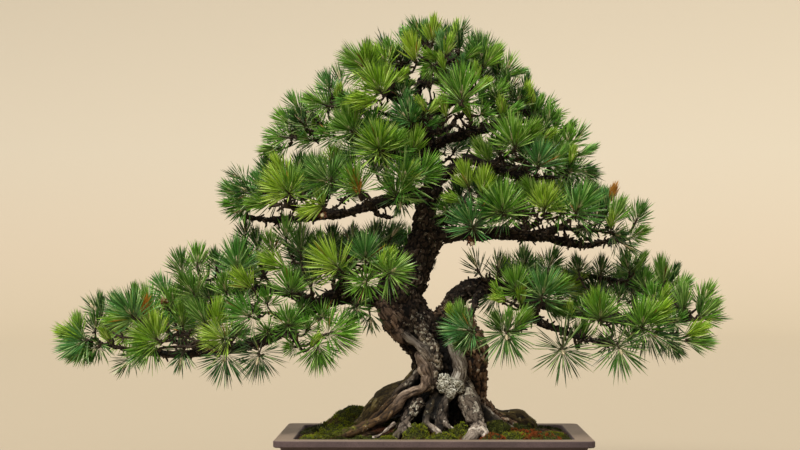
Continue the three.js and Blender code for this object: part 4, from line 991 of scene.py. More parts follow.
def lay_bark(mesh, strands, finishes, shallow=1.0, fine=1.0):
    """Raise plates and grain on a melted skin, and keep its colours and relief as attributes."""
    count = len(mesh.vertices)
    places = read_rows(mesh.vertices, "co") / MM
    normals = read_rows(mesh.vertex_normals, "vector")

    samples = strand_samples(strands)
    outside, nearest = lie_on_strands(places, samples)
    share = np.exp(-(outside - outside.min(axis=1)[:, None]) / BLEND)
    share /= share.sum(axis=1)[:, None]
    plates, grain, pale, film = (share @ np.array([FINISHES[f][1:] for f in finishes])).T
    tint = share @ np.array([linear(FINISHES[f][0])[:3] for f in finishes])

    near = samples[nearest]
    from_middle = places - near[:, PLACE]
    ahead = np.cross(near[:, ACROSS], near[:, BESIDE])
    along, across, beside = [(from_middle * way).sum(1) for way in (ahead, near[:, ACROSS], near[:, BESIDE])]
    flow = np.column_stack([near[:, LENGTH] + along, across, beside])
    plate_scale = PLATE_SCALE / fine
    relief, fleck = np.empty(count), np.empty(count)
    for i in range(count):
        own = Vector((0, 0, STRAND_SHIFT * near[i, STRAND]))
        wobble = noise.noise(Vector(places[i] / WOBBLE_SIZE)) * WOBBLE
        spot = Vector(flow[i] * plate_scale) + own + Vector((wobble, wobble, -wobble))
        gaps, cells = noise.voronoi(spot)
        small_gaps = noise.voronoi(spot * SMALL_PLATES)[0]
        plate = BIG_RISE * eased(gaps[1] - gaps[0], 0.0, CRACK_SHARE)
        plate += SMALL_RISE * eased(small_gaps[1] - small_gaps[0], 0.0, CRACK_SHARE)
        line = 0.5 + 0.5 * noise.noise(Vector(flow[i] * GRAIN_SCALE) + own)
        relief[i] = (plate * plates[i] + min(1, line + 0.25) * grain[i]) / (plates[i] + grain[i])
        fleck[i] = noise.cell(cells[0] * 7.1)
    # Where two strands meet, the skin sinks and is painted dark, as shade.
    relief *= 1 - 0.9 * np.clip((outside.min(axis=1) - SEAM_FROM) / SEAM_WIDTH, 0, 1)
    swell = sum(np.array([noise.noise(Vector(p / size)) for p in places]) * rise for size, rise in SWELLS)
    lift = shallow * ((relief - LEVEL_RELIEF) * (plates + grain) + swell * 0.8)
    places += normals * lift[:, None]
    mesh.vertices.foreach_set("co", (places * MM).ravel())

    low = np.clip((MOSS_TOP - places[:, 2]) / MOSS_FADE, 0, 1)
    moss = film * low * np.clip(0.35 + normals[:, 2], 0, 1)
    store_floats(mesh, {"relief": relief, "fleck": fleck, "pale": pale, "moss": moss,
                        "bareness": grain / (plates + grain)})
    store(mesh, "tint", "FLOAT_COLOR", "color", np.column_stack([tint, np.ones(count)]))
    store(mesh, "flow", "FLOAT_VECTOR", "vector", flow * MM)
    mesh.update()
    return {"places": places, "normals": normals, "ahead": ahead, "plates": plates, "pale": pale,
            "moss": moss, "tint": tint, "flow": flow * MM, "strand": near[:, STRAND],
            "hollow": np.zeros(count)}


# %% How deep in a hollow each point lies
HOLLOW_REACH = 55
HOLLOW_RAYS = 9
HOLLOW_SPREAD = 0.9
OFF_THE_SKIN = 1.5


def hollowness(mesh, seed):
    """The share of short rays from each point that hit the same skin. The bark is painted dark there, as
    shade.
    """
    corners = [vertex.co for vertex in mesh.vertices]
    surface = BVHTree.FromPolygons(corners, [tuple(face.vertices) for face in mesh.polygons])
    spread = np.random.default_rng(seed).normal(size=(HOLLOW_RAYS, 3))
    spread = [Vector(row).normalized() * HOLLOW_SPREAD for row in spread]
    shares = []
    for vertex in mesh.vertices:
        start = vertex.co + vertex.normal * OFF_THE_SKIN * MM
        rays = [(vertex.normal + way).normalized() for way in spread]
        shares.append(sum(surface.ray_cast(start, ray, HOLLOW_REACH * MM)[0] is not None for ray in rays))
    return np.array(shares) / HOLLOW_RAYS


# %% The trunk's skin
TRUNK_VOXEL = 2.1
STUB_OVERLAP = 4

trunk_points = list(strand_lines)
spines = [gnarled(branch["spine"], 1.2, 200 + number) for number, branch in enumerate(BRANCHES.values())]
for spine, branch in zip(spines, BRANCHES.values()):
    trunk_points.append(part_of_line(spine, 0, branch["seam"] + STUB_OVERLAP))
    trunk_finishes.append("limb bark")
trunk_mesh = melted(tubes("trunk_core", trunk_points, 4), TRUNK_VOXEL, 2)
trunk_skin = lay_bark(trunk_mesh, trunk_points, trunk_finishes)
trunk_skin["hollow"] = hollowness(trunk_mesh, 3)
store_floats(trunk_mesh, {"hollow": trunk_skin["hollow"]})
print("trunk faces:", len(trunk_mesh.polygons))

# %% [markdown]
# One material covers all the wood, because bark and bare wood fade into each other on a living
# trunk. It reads what the skin knows about itself: the strand's colour, how high a point stands on
# its plate, and how mossy its place is. Cracks and hollows are painted almost black, as shade, and
# plate tops are dry and matte.

# %% Material: plated pine bark and bare wood
plated_bark, tree, shader = new_material("plated_pine_bark_and_bare_wood")
spots = object_place(tree)
tint, flow = attribute(tree, "tint", "Color"), attribute(tree, "flow", "Vector")
relief, fleck, pale, moss, bareness, hollow = [
    attribute(tree, name) for name in ("relief", "fleck", "pale", "moss", "bareness", "hollow")]


def along_strand(scale):
    """The place along and across a strand, scaled for a pattern that follows it."""
    return add_node(tree, "ShaderNodeMapping", {"Vector": flow, "Scale": scale}).outputs[0]


# Fibres 1.5 mm wide and about 20 mm long, which run along each strand.
fibres = clouds(tree, along_strand((50, 650, 650)), 1.0, 4.0, 0.65)
wood = shaded(tree, 0.75, tint, ramp(tree, fibres, (0.32, "8d8177"), (0.7, "ffffff")))
# Each plate has weathered to its own shade.
plate_tone = ramp(tree, fleck, (0.0, "877a70"), (0.55, "d8d0c8"), (1.0, "ffffff"))
wood = shaded(tree, 0.8, wood, plate_tone)
# Dry bare wood has opened in dark lines, 3 mm apart and some 40 mm long.
checks = clouds(tree, along_strand((26, 330, 330)), 1.0)
check_tone = ramp(tree, checks, (0.35, "55483e"), (0.42, "c2b7ab"), (0.48, "ffffff"))
wood = shaded(tree, bareness, wood, check_tone)
# The cracks between plates are painted nearly black, as shade.
wood = shaded(tree, 1.0, wood, ramp(tree, relief, (0.10, "100b07"), (0.34, "51443a"), (0.68, "ffffff")))

# Specks of crust lichen 2 to 5 mm wide, only as many as the strand's paleness allows.
crust = clouds(tree, spots, 260.0, 3.0, 0.6)
for value, weight in ((pale, 0.2), (fleck, 0.16)):
    crust = add_node(tree, "ShaderNodeMath", {0: value, 1: weight, 2: crust},
                     operation="MULTIPLY_ADD").outputs[0]
crust = slope(tree, crust, 0.74, 0.8, 0.0, 0.85)
crust = add_node(tree, "ShaderNodeMath", {0: crust, 1: relief}, operation="MULTIPLY").outputs[0]
wood = covered(tree, crust, wood, linear("b9b6a6"))

# The hollows are painted dark, as shade: the more short rays from a point hit the skin, the darker.
wood = shaded(tree, 1.0, wood, ramp(tree, hollow, (0.15, "ffffff"), (0.45, "9a8f86"), (0.85, "2e2622")))

# A film of moss on what lies low and faces up.
film = clouds(tree, spots, 90.0, 4.0)
film_more = add_node(tree, "ShaderNodeMath", {0: moss, 1: film}, operation="ADD").outputs[0]
film_tone = ramp(tree, film, (0.35, "2b2a0f"), (0.6, "54541a"), (0.75, "787928"))
wood = covered(tree, slope(tree, film_more, 0.82, 1.05), wood, film_tone)

feed(tree, shader, {"Base Color": wood, "Roughness": slope(tree, bareness, 0.0, 1.0, 0.92, 0.7),
                    "Specular IOR Level": 0.3, "Normal": bump(tree, fibres, 0.6, 0.0012)})
place_piece("trunk_bark", trunk_mesh, plated_bark, "bark", "trunk")

# %% [markdown]
# Old plates work loose at their edges and stand out from the skin. So flakes are laid over the bark,
# where a smooth skin can't be as ragged: angular chips, each tilted a little. On the lichened ridge
# they are small, thick and pale. Each takes its colour from the skin it lies on.

# %% Flakes
FLAKE_ATTRIBUTES = ("relief", "fleck", "pale", "moss", "bareness", "hollow")
FLAKE_SHAPES = 6
PALE_CHIP = np.array(linear("d2c9b8")[:3])


def flake_shape(seed):
    """An angular chip about 1 across, flat in z."""
    dice = random.Random(seed)
    bm = bmesh.new()
    bmesh.ops.create_icosphere(bm, subdivisions=1, radius=0.5)
    for vertex in bm.verts:
        vertex.co *= dice.uniform(0.72, 1.28)
    mesh = as_mesh(bm, "flake")
    store_floats(mesh, {name: np.zeros(len(mesh.vertices)) for name in FLAKE_ATTRIBUTES})
    return mesh


def lay_flakes(name, skin, chosen, sizes, whiteness, seed):
    """Lay flakes on these points of a skin. Sizes are low and high, in millimetres."""
    dice = random.Random(seed)
    shapes = [flake_shape(seed + number) for number in range(FLAKE_SHAPES)]
    parts, tints, flows = [], [], []
    for point in chosen:
        normal, ahead = Vector(skin["normals"][point]), Vector(skin["ahead"][point])
        long_way = (ahead - normal * ahead.dot(normal)).normalized()
        size = Vector([dice.uniform(*span) for span in sizes])
        turn = Matrix((long_way, normal.cross(long_way), normal)).transposed()
        turn = turn @ Matrix.Rotation(dice.gauss(0, 0.35), 3, "Z")
        turn = turn @ Matrix.Rotation(dice.gauss(0, 0.32), 3, "Y")
        place = Vector(skin["places"][point]) + normal * size.z * 0.2
        values = {"relief": dice.uniform(0.28, 0.9), "fleck": dice.random(), "bareness": 0.0}
        values.update({key: skin[key][point] for key in ("pale", "moss", "hollow")})
        parts.append((dice.choice(shapes), placed(place, turn.to_quaternion(), size), values))
        white = min(1.0, whiteness * dice.random())
        tints.append((*(skin["tint"][point] * (1 - white) + PALE_CHIP * white), 1.0))
        flows.append(skin["flow"][point])
    mesh = gathered(name, parts)
    corners = len(shapes[0].vertices)
    store(mesh, "tint", "FLOAT_COLOR", "color", np.repeat(tints, corners, axis=0))
    store(mesh, "flow", "FLOAT_VECTOR", "vector", np.repeat(flows, corners, axis=0))
    place_piece(name, mesh, plated_bark, "bark", smooth=False)


BARK_FLAKES, PALE_CHIPS = 3000, 130
SOIL_LEVEL = 96
PLATED = 3.0
picks = np.random.default_rng(5)
height = trunk_skin["places"][:, 2]
barky = np.flatnonzero((trunk_skin["plates"] > PLATED) & (height > SOIL_LEVEL))
lay_flakes("bark_flakes", trunk_skin, picks.choice(barky, BARK_FLAKES, replace=False),
           [(5, 13), (3.5, 7), (1.6, 3.4)], 0.12, 11)

# The lichened ridge is strand 6. Its plates are as small as beans, and each wears a pale crust.
RIDGE = 6
RIDGE_TOP, RIDGE_FOOT = 254, 166
RIDGE_PALENESS = 0.4
on_ridge = (trunk_skin["strand"] == RIDGE) & (height < RIDGE_TOP) & (height > RIDGE_FOOT)
ridge = np.flatnonzero(on_ridge & (trunk_skin["pale"] > RIDGE_PALENESS))
lay_flakes("pale_bark_chips", trunk_skin, picks.choice(ridge, PALE_CHIPS, replace=False),
           [(5, 8.5), (4.5, 6.5), (3, 4.5)], 1.5, 23)

# %% [markdown]
# ## Lichen
#
# A clump of leafy lichen sits beside the grey strand's foot, the palest thing on the tree. It is a
# crowd of small curled lobes, each cupped like a petal with a wavy rim. One lobe is a disc with its
# middle pushed in, made solid, and some two hundred of them stand over four egg-shaped cores.

# %% One lobe of lichen
LOBE_SIDES = 9
LOBE_THICKNESS = 0.14


def lichen_lobe(seed):
    dice = random.Random(seed)
    bm = bmesh.new()
    bmesh.ops.create_circle(bm, cap_ends=True, cap_tris=True, segments=LOBE_SIDES, radius=1)
    for vertex in bm.verts:
        rim = min(vertex.co.length, 1)
        vertex.co *= 1 + rim * dice.uniform(-0.3, 0.25)
        vertex.co.z = rim * dice.uniform(0.2, 0.75)
    bmesh.ops.recalc_face_normals(bm, faces=bm.faces)
    bmesh.ops.solidify(bm, geom=bm.faces[:], thickness=LOBE_THICKNESS)
    bmesh.ops.recalc_face_normals(bm, faces=bm.faces)
    mesh = as_mesh(bm, "lobe")
    rims = [min(vertex.co.xy.length, 1) for vertex in mesh.vertices]
    store_floats(mesh, {"rim": rims, "age": np.zeros(len(rims))})
    return mesh


# %% Lichen on the trunk
# Clumps as centre, half sizes and number of lobes.
LICHENS = [((21, -56, 176), (12, 9, 13), 115), ((37, -57, 174), (11, 8, 10), 60),
           ((28, -58, 164), (8, 7, 8), 30), ((16, -55, 186), (6, 6, 6), 16)]
LOBE_SHAPES = 5
lobes = [lichen_lobe(seed) for seed in range(LOBE_SHAPES)]
dice = random.Random(41)
parts = []
for centre, half, count in LICHENS:
    for _ in range(count):
        side, height = dice.uniform(-1, 1), dice.uniform(-1, 1)
        flat = math.hypot(side, height)
        if flat > 1:
            side, height, flat = side / flat * 0.95, height / flat * 0.95, 0.95
        skin = Vector((side, -math.sqrt(1 - flat * flat), height))
        depth = dice.uniform(0.7, 1.22)
        place = [c + h * s * depth for c, h, s in zip(centre, half, skin)]
        outwards = skin + random_vector(dice, 0.7)
        roll = random_roll(dice)
        size = dice.uniform(2.0, 4.0)
        matrix = placed(place, outwards.to_track_quat("Z", "Y") @ roll, (size, size, size * 0.9))
        parts.append((dice.choice(lobes), matrix, {"age": dice.random()}))
lichen_mesh = gathered("lichen", parts)

# %% Material: leafy lichen
leafy_lichen, tree, shader = new_material("leafy_grey_green_lichen")
# Dry lichen is dull and chalky. Its lobes are palest at the rim and darker, greener in the cup, where the
# darkness is partly painted shade.
lobe_colour_and_cup_shade = ramp(tree, attribute(tree, "rim"), (0.2, "504f46"), (0.6, "a3a297"), (1.0, "e2e0d7"))
age_tone = ramp(tree, attribute(tree, "age"), (0.0, "b0afa4"), (0.5, "ecebe4"), (1.0, "ffffff"))
feed(tree, shader, {"Base Color": shaded(tree, 1.0, lobe_colour_and_cup_shade, age_tone), "Roughness": 0.9,
                    "Specular IOR Level": 0.2})
place_piece("lichen_clump", lichen_mesh, leafy_lichen, "foliage")

# %% [markdown]
# ## Limbs and twigs
#
# A bonsai's limb is trained flat and divides again and again towards its tufts. The spines and side
# limbs are listed, and the twigs grow by one rule: each tuft is joined to the wood that reaches it by
# the shortest way, counted from the trunk, and a twig may fork from another. The thickness at a fork
# follows from how many tufts it feeds, which is also how real twigs thicken.

# %% Spread tufts over the far side of a pad
# Steps of a sequence that fills a square evenly, whatever the number of points.
PAD_SPREAD = (0.7548776662466927, 0.5698402909980532)
LOWEST_POLAR = 1.95
HIGH_PADS = 590
HIGH_KINDS = ("small", "small", "young", "paddle", "sparse")
LOW_KINDS = ("open", "fan", "fan", "small", "young")
PAD_TONES = ("green", "green", "dark", "blue", "bright")


def tufts_on_pad(centre, half, count, seed):
    """Tufts over the skin of an egg-shaped pad, as (place, axis, kind, tone)."""
    dice = random.Random(seed)
    rows = []
    for i in range(1, count + 1):
        polar = LOWEST_POLAR * ((0.5 + PAD_SPREAD[0] * i) % 1) ** 0.6
        turn = math.tau * ((0.5 + PAD_SPREAD[1] * i + 0.37 * seed) % 1)
        skin = lean_vector(polar, turn)
        depth = dice.uniform(0.72, 1.0)
        place = Vector([c + s * h * depth for c, s, h in zip(centre, skin, half)])
        axis = Vector([s / h for s, h in zip(skin, half)]).normalized()
        axis += Vector((dice.uniform(-0.3, 0.3), dice.uniform(-0.3, 0.3), 0.35 + dice.uniform(-0.15, 0.15)))
        kind = dice.choice(HIGH_KINDS if centre[2] > HIGH_PADS else LOW_KINDS)
        rows.append((place, axis.normalized(), kind, dice.choice(PAD_TONES)))
    return rows


# %% Twigs
PATH_WEIGHT = 0.3
FORK_AT = 0.55
FORK_ROOM = 3.2
TIP_RADIUS = 1.7
SHOOT_BASE = 9
SEAM_ROOM = 8
SIDE_LENGTH = 60


def anchors_along(line, first_length, skip):
    """Where twigs may start on a limb: place, length from the trunk and room for their thickness."""
    points = smooth_line(line, 3)
    lengths = first_length + lengths_along(points)
    return [(Vector(p[:3]), length, p[3]) for p, length in zip(points, lengths) if length > skip]


def grow_twigs(branch, tufts, seed):
    """Lines of twigs from the limbs to the tufts, as arrays of x, y, z and radius."""
    anchors = anchors_along(branch["spine"], 0, branch["seam"] + SEAM_ROOM)
    for side in branch["sides"]:
        anchors += anchors_along(side, SIDE_LENGTH, 0)
    parents = [None] * len(anchors)
    ends = [place - axis * SHOOT_BASE for place, axis, _, _ in tufts]
    order = sorted(range(len(tufts)), key=lambda i: min((a[0] - ends[i]).length for a in anchors))
    grown = []
    for i in order:
        end = ends[i]
        ways = [(place - end).length + PATH_WEIGHT * length for place, length, _ in anchors]
        best = ways.index(min(ways))
        start, length, radius = anchors[best]
        fork = start.lerp(end, FORK_AT)
        grown.append({"tuft": i, "start": start, "room": radius, "parent": parents[best], "load": 1})
        anchors.append((fork, length + (fork - start).length, FORK_ROOM))
        parents.append(len(grown) - 1)
    for twig in reversed(grown):
        if twig["parent"] is not None:
            grown[twig["parent"]]["load"] += twig["load"]

    dice = random.Random(seed)
    lines = []
    for twig in grown:
        place, axis, _, _ = tufts[twig["tuft"]]
        start, end = twig["start"], ends[twig["tuft"]]
        thick = min(TIP_RADIUS * twig["load"] ** 0.45 + 0.7, twig["room"] * 0.85)
        reach = (end - start).length
        kink = [Vector([dice.uniform(-0.07, 0.07) * reach for _ in range(3)]) for _ in range(2)]
        sag = Vector((0, 0, -0.05 * reach))
        bent = end - axis * min(14, 0.3 * reach)
        rows = [(*start, thick), (*(start.lerp(end, 0.3) + kink[0] + sag), thick * 0.85),
                (*(start.lerp(bent, FORK_AT) + sag * 0.5), thick * 0.72),
                (*(start.lerp(bent, 0.8) + kink[1] * 0.5), TIP_RADIUS * 1.15),
                (*end, TIP_RADIUS), (*(place + axis * 4), TIP_RADIUS)]
        lines.append(smooth_line(rows, 2))
    return lines


# %% Spurs
THINNEST_WITH_SPURS = 1.6


def add_spurs(lines, per_length, seed):
    """Short stubs that old needles and side buds have left, standing out from wood all round."""
    dice = random.Random(seed)
    spurs = []
    for points in lines:
        for _ in range(round(lengths_along(points)[-1] * per_length)):
            row = points[dice.randrange(1, len(points))]
            if row[3] < THINNEST_WITH_SPURS:
                continue
            out = Vector([dice.gauss(0, 1) for _ in range(3)]).normalized()
            start = Vector(row[:3])
            reach = row[3] + dice.uniform(3, 11)
            bend = random_vector(dice, 2)
            spurs.append(np.array([(*start, 2.0), (*(start + out * reach * 0.7), 1.9),
                                   (*(start + out * reach + bend), 1.2)]))
    return spurs


# %% [markdown]
# ## Needle tufts
#
# A black pine carries its needles in pairs round the end of each shoot. Shoots that lie open are full
# stars, most stand as half-open fans, and this year's shoots are narrow bright brushes. High on the
# tree the shoots are short, like paddles, and here and there hangs a dry cone. One needle is a slim
# three-sided spindle, a little thicker than a real one, because a real needle would be thinner than a
# pixel. A tuft of each kind is built once in three versions, and then set on each shoot, turned and
# tinted on its own.

# %% One needle
NEEDLE_SIDES = 3
NEEDLE_RADIUS = 0.92
USUAL_LENGTH = 45
WIDEST_AT = 0.66
NEEDLE_CURVE = 0.05
TUFT_ATTRIBUTES = ("along", "needle_tone", "tuft_tone", "youth", "bud", "dead")

needle = bmesh.new()
ring = bmesh.ops.create_circle(needle, segments=NEEDLE_SIDES, radius=1)["verts"]
edges = list({edge for vertex in ring for edge in vertex.link_edges})
for end in (0, 1):
    grown = bmesh.ops.extrude_edge_only(needle, edges=edges)["geom"]
    tip = [part for part in grown if isinstance(part, bmesh.types.BMVert)]
    bmesh.ops.pointmerge(needle, verts=tip, merge_co=Vector((0, 0, end)))
for vertex in ring:
    vertex.co.z = WIDEST_AT
bmesh.ops.recalc_face_normals(needle, faces=needle.faces)
needle_mesh = as_mesh(needle, "needle")
heights = [vertex.co.z for vertex in needle_mesh.vertices]
store_floats(needle_mesh, {name: np.zeros(len(heights)) for name in TUFT_ATTRIBUTES})
needle_mesh.attributes["along"].data.foreach_set("value", np.array(heights, np.float32))
for vertex in needle_mesh.vertices:
    vertex.co.x += NEEDLE_CURVE / NEEDLE_RADIUS * USUAL_LENGTH * vertex.co.z ** 2
print("needle triangles:", sum(len(p.vertices) - 2 for p in needle_mesh.polygons))

# %% One winter bud
bud = bmesh.new()
bmesh.ops.create_icosphere(bud, subdivisions=1, radius=1)
for vertex in bud.verts:
    narrower = 1 - 0.35 * max(0, vertex.co.z)
    vertex.co.x *= narrower
    vertex.co.y *= narrower
bud_mesh = as_mesh(bud, "bud")
store_floats(bud_mesh, {name: np.zeros(len(bud_mesh.vertices)) for name in TUFT_ATTRIBUTES})
print("bud triangles:", len(bud_mesh.polygons))

# %% Tufts of needles
# How far the lowest and the highest needles lean from the shoot, in degrees; the shortest and the
# longest needle; how many pairs; and how thick, where 1 is a green needle.
TUFT_KINDS = {
    "open": ((108, 6), (41, 53), 66, 1),
    "fan": ((74, 3), (42, 54), 66, 1),
    "young": ((32, 2), (34, 46), 52, 1),
    "small": ((76, 4), (26, 37), 45, 1),
    "sparse": ((66, 4), (26, 38), 19, 1),
    "star": ((98, 14), (44, 57), 54, 1),
    "paddle": ((15, 1), (24, 33), 46, 1),
    "cone": ((105, 6), (5, 8), 14, 2.4),
}
# Each tone is a range along the mature colours, and one of how young the shoot is.
# The dark tone is partly painted shade: tufts that hang under a pad, and many at its back, are listed dark.
TUFT_TONES = {"green": ((0.2, 0.85), (0.0, 0.3)), "dark": ((0.0, 0.2), (0.0, 0.1)),
              "blue": ((0.88, 1.0), (0.0, 0.1)), "bright": ((0.2, 1.0), (0.6, 1.0)),
              "dead": ((0.8, 1.0), (0.0, 0.0)), "cone": ((0.0, 0.3), (0.0, 0.0))}
VERSIONS = 3
GOLDEN_ANGLE = math.pi * (3 - math.sqrt(5))
CORE_LOW, CORE_HIGH = -8, 7
CORE_RADIUS = 1.2
PAIR_OPENS = math.radians(7)
BUD_MIDDLE = Vector((0, 0, CORE_HIGH + 7))
BUD_RADIUS = 3.3


def make_tuft(kind, seed):
    """A tuft of this kind round a shoot that points up z, with its winter bud."""
    (low, high), lengths, pairs, thick = TUFT_KINDS[kind]
    radius = NEEDLE_RADIUS * thick
    dice = random.Random(seed)
    parts = []
    for pair in range(pairs):
        share = (pair + 0.5) / pairs
        lean = math.radians(low + (high - low) * share ** 0.85 + dice.uniform(-9, 9))
        outwards = lean_vector(lean, pair * GOLDEN_ANGLE + dice.uniform(-0.3, 0.3))
        root = Vector((outwards.x, outwards.y, 0)) * CORE_RADIUS
        root += Vector((0, 0, CORE_LOW + (CORE_HIGH - CORE_LOW) * share))
        across = outwards.orthogonal().normalized()
        across.rotate(Matrix.Rotation(dice.uniform(0, math.tau), 3, outwards))
        for side in (-1, 1):
            opening = side * math.tan(PAIR_OPENS * dice.uniform(0.5, 1.3))
            direction = (outwards + across * opening).normalized()
            turn = direction.to_track_quat("Z", "X") @ random_roll(dice)
            matrix = Matrix.LocRotScale(root, turn, (radius, radius, dice.uniform(*lengths)))
            parts.append((needle_mesh, matrix, {"needle_tone": dice.random()}))
    bud_matrix = Matrix.LocRotScale(BUD_MIDDLE, None, (BUD_RADIUS, BUD_RADIUS, dice.uniform(8, 12)))
    parts.append((bud_mesh, bud_matrix, {"bud": 1.0}))
    return gathered(f"tuft_{kind}_{seed}", parts)


tuft_meshes = {kind: [make_tuft(kind, 31 * number + 7) for number in range(VERSIONS)] for kind in TUFT_KINDS}
print("needles in a tuft:", {kind: 2 * shape[2] for kind, shape in TUFT_KINDS.items()})

# %% [markdown]
# Needles are waxy: matte along their faces, with a soft sheen that runs over a whole tuft. Mature
# ones are deep green, some towards blue, and this year's are light and yellowish. Each starts from an
# olive sheath, and here and there an old one has turned orange. Winter buds are nearly white.

# %% Material: waxy pine needles
waxy_needles, tree, shader = new_material("waxy_pine_needles")
along, needle_tone, tuft_tone, youth, is_bud, is_dead = [attribute(tree, name) for name in TUFT_ATTRIBUTES]
mature = ramp(tree, tuft_tone, (0.0, "294f28"), (0.25, "4a8236"), (0.6, "78b440"), (0.8, "5a9f4c"),
              (1.0, "5d9b66"))
young = ramp(tree, tuft_tone, (0.0, "98c83a"), (1.0, "cbe556"))
skin_tone = covered(tree, youth, mature, young)
each = ramp(tree, needle_tone, (0.0, "727f62"), (0.5, "cddcbc"), (0.8, "fdffee"))
skin_tone = shaded(tree, 1.0, skin_tone, each)
# One needle in five is painted paler: the pale lines of breathing pores on its flat side, and a painted
# highlight.
skin_tone = covered(tree, slope(tree, needle_tone, 0.8, 0.84, 0.0, 0.4), skin_tone, linear("cfdf98"))
# A dry cone is red-brown, and a dead bundle of needles dull orange.
dead_tone = ramp(tree, tuft_tone, (0.2, "6b3a22"), (0.5, "8a5f36"), (0.9, "b9822f"))
few_dead = slope(tree, needle_tone, 0.996, 0.998)
any_dead = add_node(tree, "ShaderNodeMath", {0: few_dead, 1: is_dead}, operation="MAXIMUM").outputs[0]
skin_tone = covered(tree, any_dead, skin_tone, dead_tone)
skin_tone = covered(tree, slope(tree, along, 0.05, 0.3, 0.85, 0.0), skin_tone, linear("56602f"))
skin_tone = covered(tree, is_bud, skin_tone, linear("dccaa8"))
feed(tree, shader, {"Base Color": skin_tone, "Roughness": 0.36, "Specular IOR Level": 0.6})

# %% Material: young twig bark
# Young twigs are dull, and rough with the small dark scales that fallen needle pairs have left.
young_twig, tree, shader = new_material("scaly_young_twig_bark")
spots = object_place(tree)
scales = add_node(tree, "ShaderNodeTexVoronoi", {"Vector": spots, "Scale": 420.0}).outputs["Distance"]
feed(tree, shader, {"Base Color": ramp(tree, scales, (0.15, "51402f"), (0.6, "241b13")),
                    "Roughness": 0.9, "Normal": bump(tree, scales, 0.5, 0.0008)})

# %% Choose the tufts
TUFT_SPACING = 19

tufts_of = {name: list(branch["tufts"]) for name, branch in BRANCHES.items()}
tuft_places = [row[0] for rows in tufts_of.values() for row in rows]
for number, (name, branch) in enumerate(BRANCHES.items()):
    for pad, (centre, half, count) in enumerate(branch["pads"]):
        for row in tufts_on_pad(centre, half, count, 10 * number + pad):
            if all((row[0] - other).length >= TUFT_SPACING for other in tuft_places):
                tuft_places.append(row[0])
                tufts_of[name].append(row)
print("tufts:", len(tuft_places))

# %% Grow every branch
LIMB_VOXEL = 2.4
LIMB_INTO_STUB = 12
BOX_ROOM = 0.0005
LOW = np.array(CAD_LOW) + BOX_ROOM
HIGH = np.array(CAD_HIGH) - BOX_ROOM


def keep_in_box(mesh):
    """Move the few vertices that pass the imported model's box back onto it."""
    places = read_rows(mesh.vertices, "co")
    mesh.vertices.foreach_set("co", np.clip(places, LOW, HIGH).ravel())
    return int(((places < LOW) | (places > HIGH)).any(axis=1).sum())


limb_skins = []
for number, (name, branch) in enumerate(BRANCHES.items()):
    limbs = [part_of_line(spines[number], branch["seam"] - LIMB_INTO_STUB, math.inf)]
    limbs += [gnarled(side, 1.5, 300 + 10 * number + k) for k, side in enumerate(branch["sides"])]
    limb_mesh = melted(tubes(name + "_limbs", limbs, 3), LIMB_VOXEL, 2)
    limb_skins.append(lay_bark(limb_mesh, limbs, ["limb bark"] * len(limbs), shallow=0.5, fine=0.62))
    place_piece(name + "_limbs", limb_mesh, plated_bark, "bark", name)

    tufts = tufts_of[name]
    twigs = grow_twigs(branch, tufts, 400 + number)
    spurs = add_spurs(limbs, 0.2, 600 + number) + add_spurs(twigs, 0.13, 700 + number)
    place_piece(name + "_twigs", tubes(name + "_twigs", twigs + spurs, 0), young_twig, "bark", name)

    dice = random.Random(500 + number)
    parts = []
    for place, axis, kind, tone in tufts:
        tuft = dice.choice(tuft_meshes[kind])
        turn = axis.to_track_quat("Z", "X") @ random_roll(dice)
        size = dice.uniform(0.9, 1.16)
        tuft_tone, youth = [dice.uniform(*span) for span in TUFT_TONES[tone]]
        if kind == "young":
            youth = min(1.0, youth + 0.2)
        values = {"tuft_tone": tuft_tone, "youth": youth, "dead": float(tone in ("dead", "cone"))}
        parts.append((tuft, placed(place, turn, (size, size, size)), values))
    needles_mesh = gathered(name + "_needles", parts)
    outside = keep_in_box(needles_mesh)
    place_piece(name + "_needles", needles_mesh, waxy_needles, "foliage", name, smooth=False)
    print(name, "tufts:", len(tufts), "vertices put back in the box:", outside)

# %% Flakes on the limbs
LIMB_FLAKES = 2400
limb_skin = {key: np.concatenate([skin[key] for skin in limb_skins]) for key in limb_skins[0]}
lay_flakes("limb_flakes", limb_skin, picks.choice(len(limb_skin["pale"]), LIMB_FLAKES, replace=False),
           [(4, 9), (3, 5.5), (1.4, 2.8)], 0.15, 57)

# %% [markdown]
# ## Soil and moss
#
# The soil is gritty and mounds up towards the trunk. Its top is a fine grid at the same height as the
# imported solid's, closed by a skirt and a bottom, and small grains lift its skin. Moss stands on it in
# lumpy cushions. They are part of the same skin, and tiny patches of sprigs cover them, most of them
# near the rims, so that no cushion shows a smooth edge.

# %% Heights of the soil
HALF_LENGTH, HALF_WIDTH = 250, 175
WALL_INSET = 30.6
BOTTOM_INSET = 42.6
SOIL_BOTTOM = 26.2
CORNER_RADIUS = 12
TOP_X, TOP_Y = HALF_LENGTH - WALL_INSET, HALF_WIDTH - WALL_INSET
SOIL_LOW = 88
# Mounds as x, y, half widths and height.
MOUNDS = [(15, 5, 125, 85, 22), (-134, 45, 52, 44, 38), (150, 20, 60, 50, 6)]
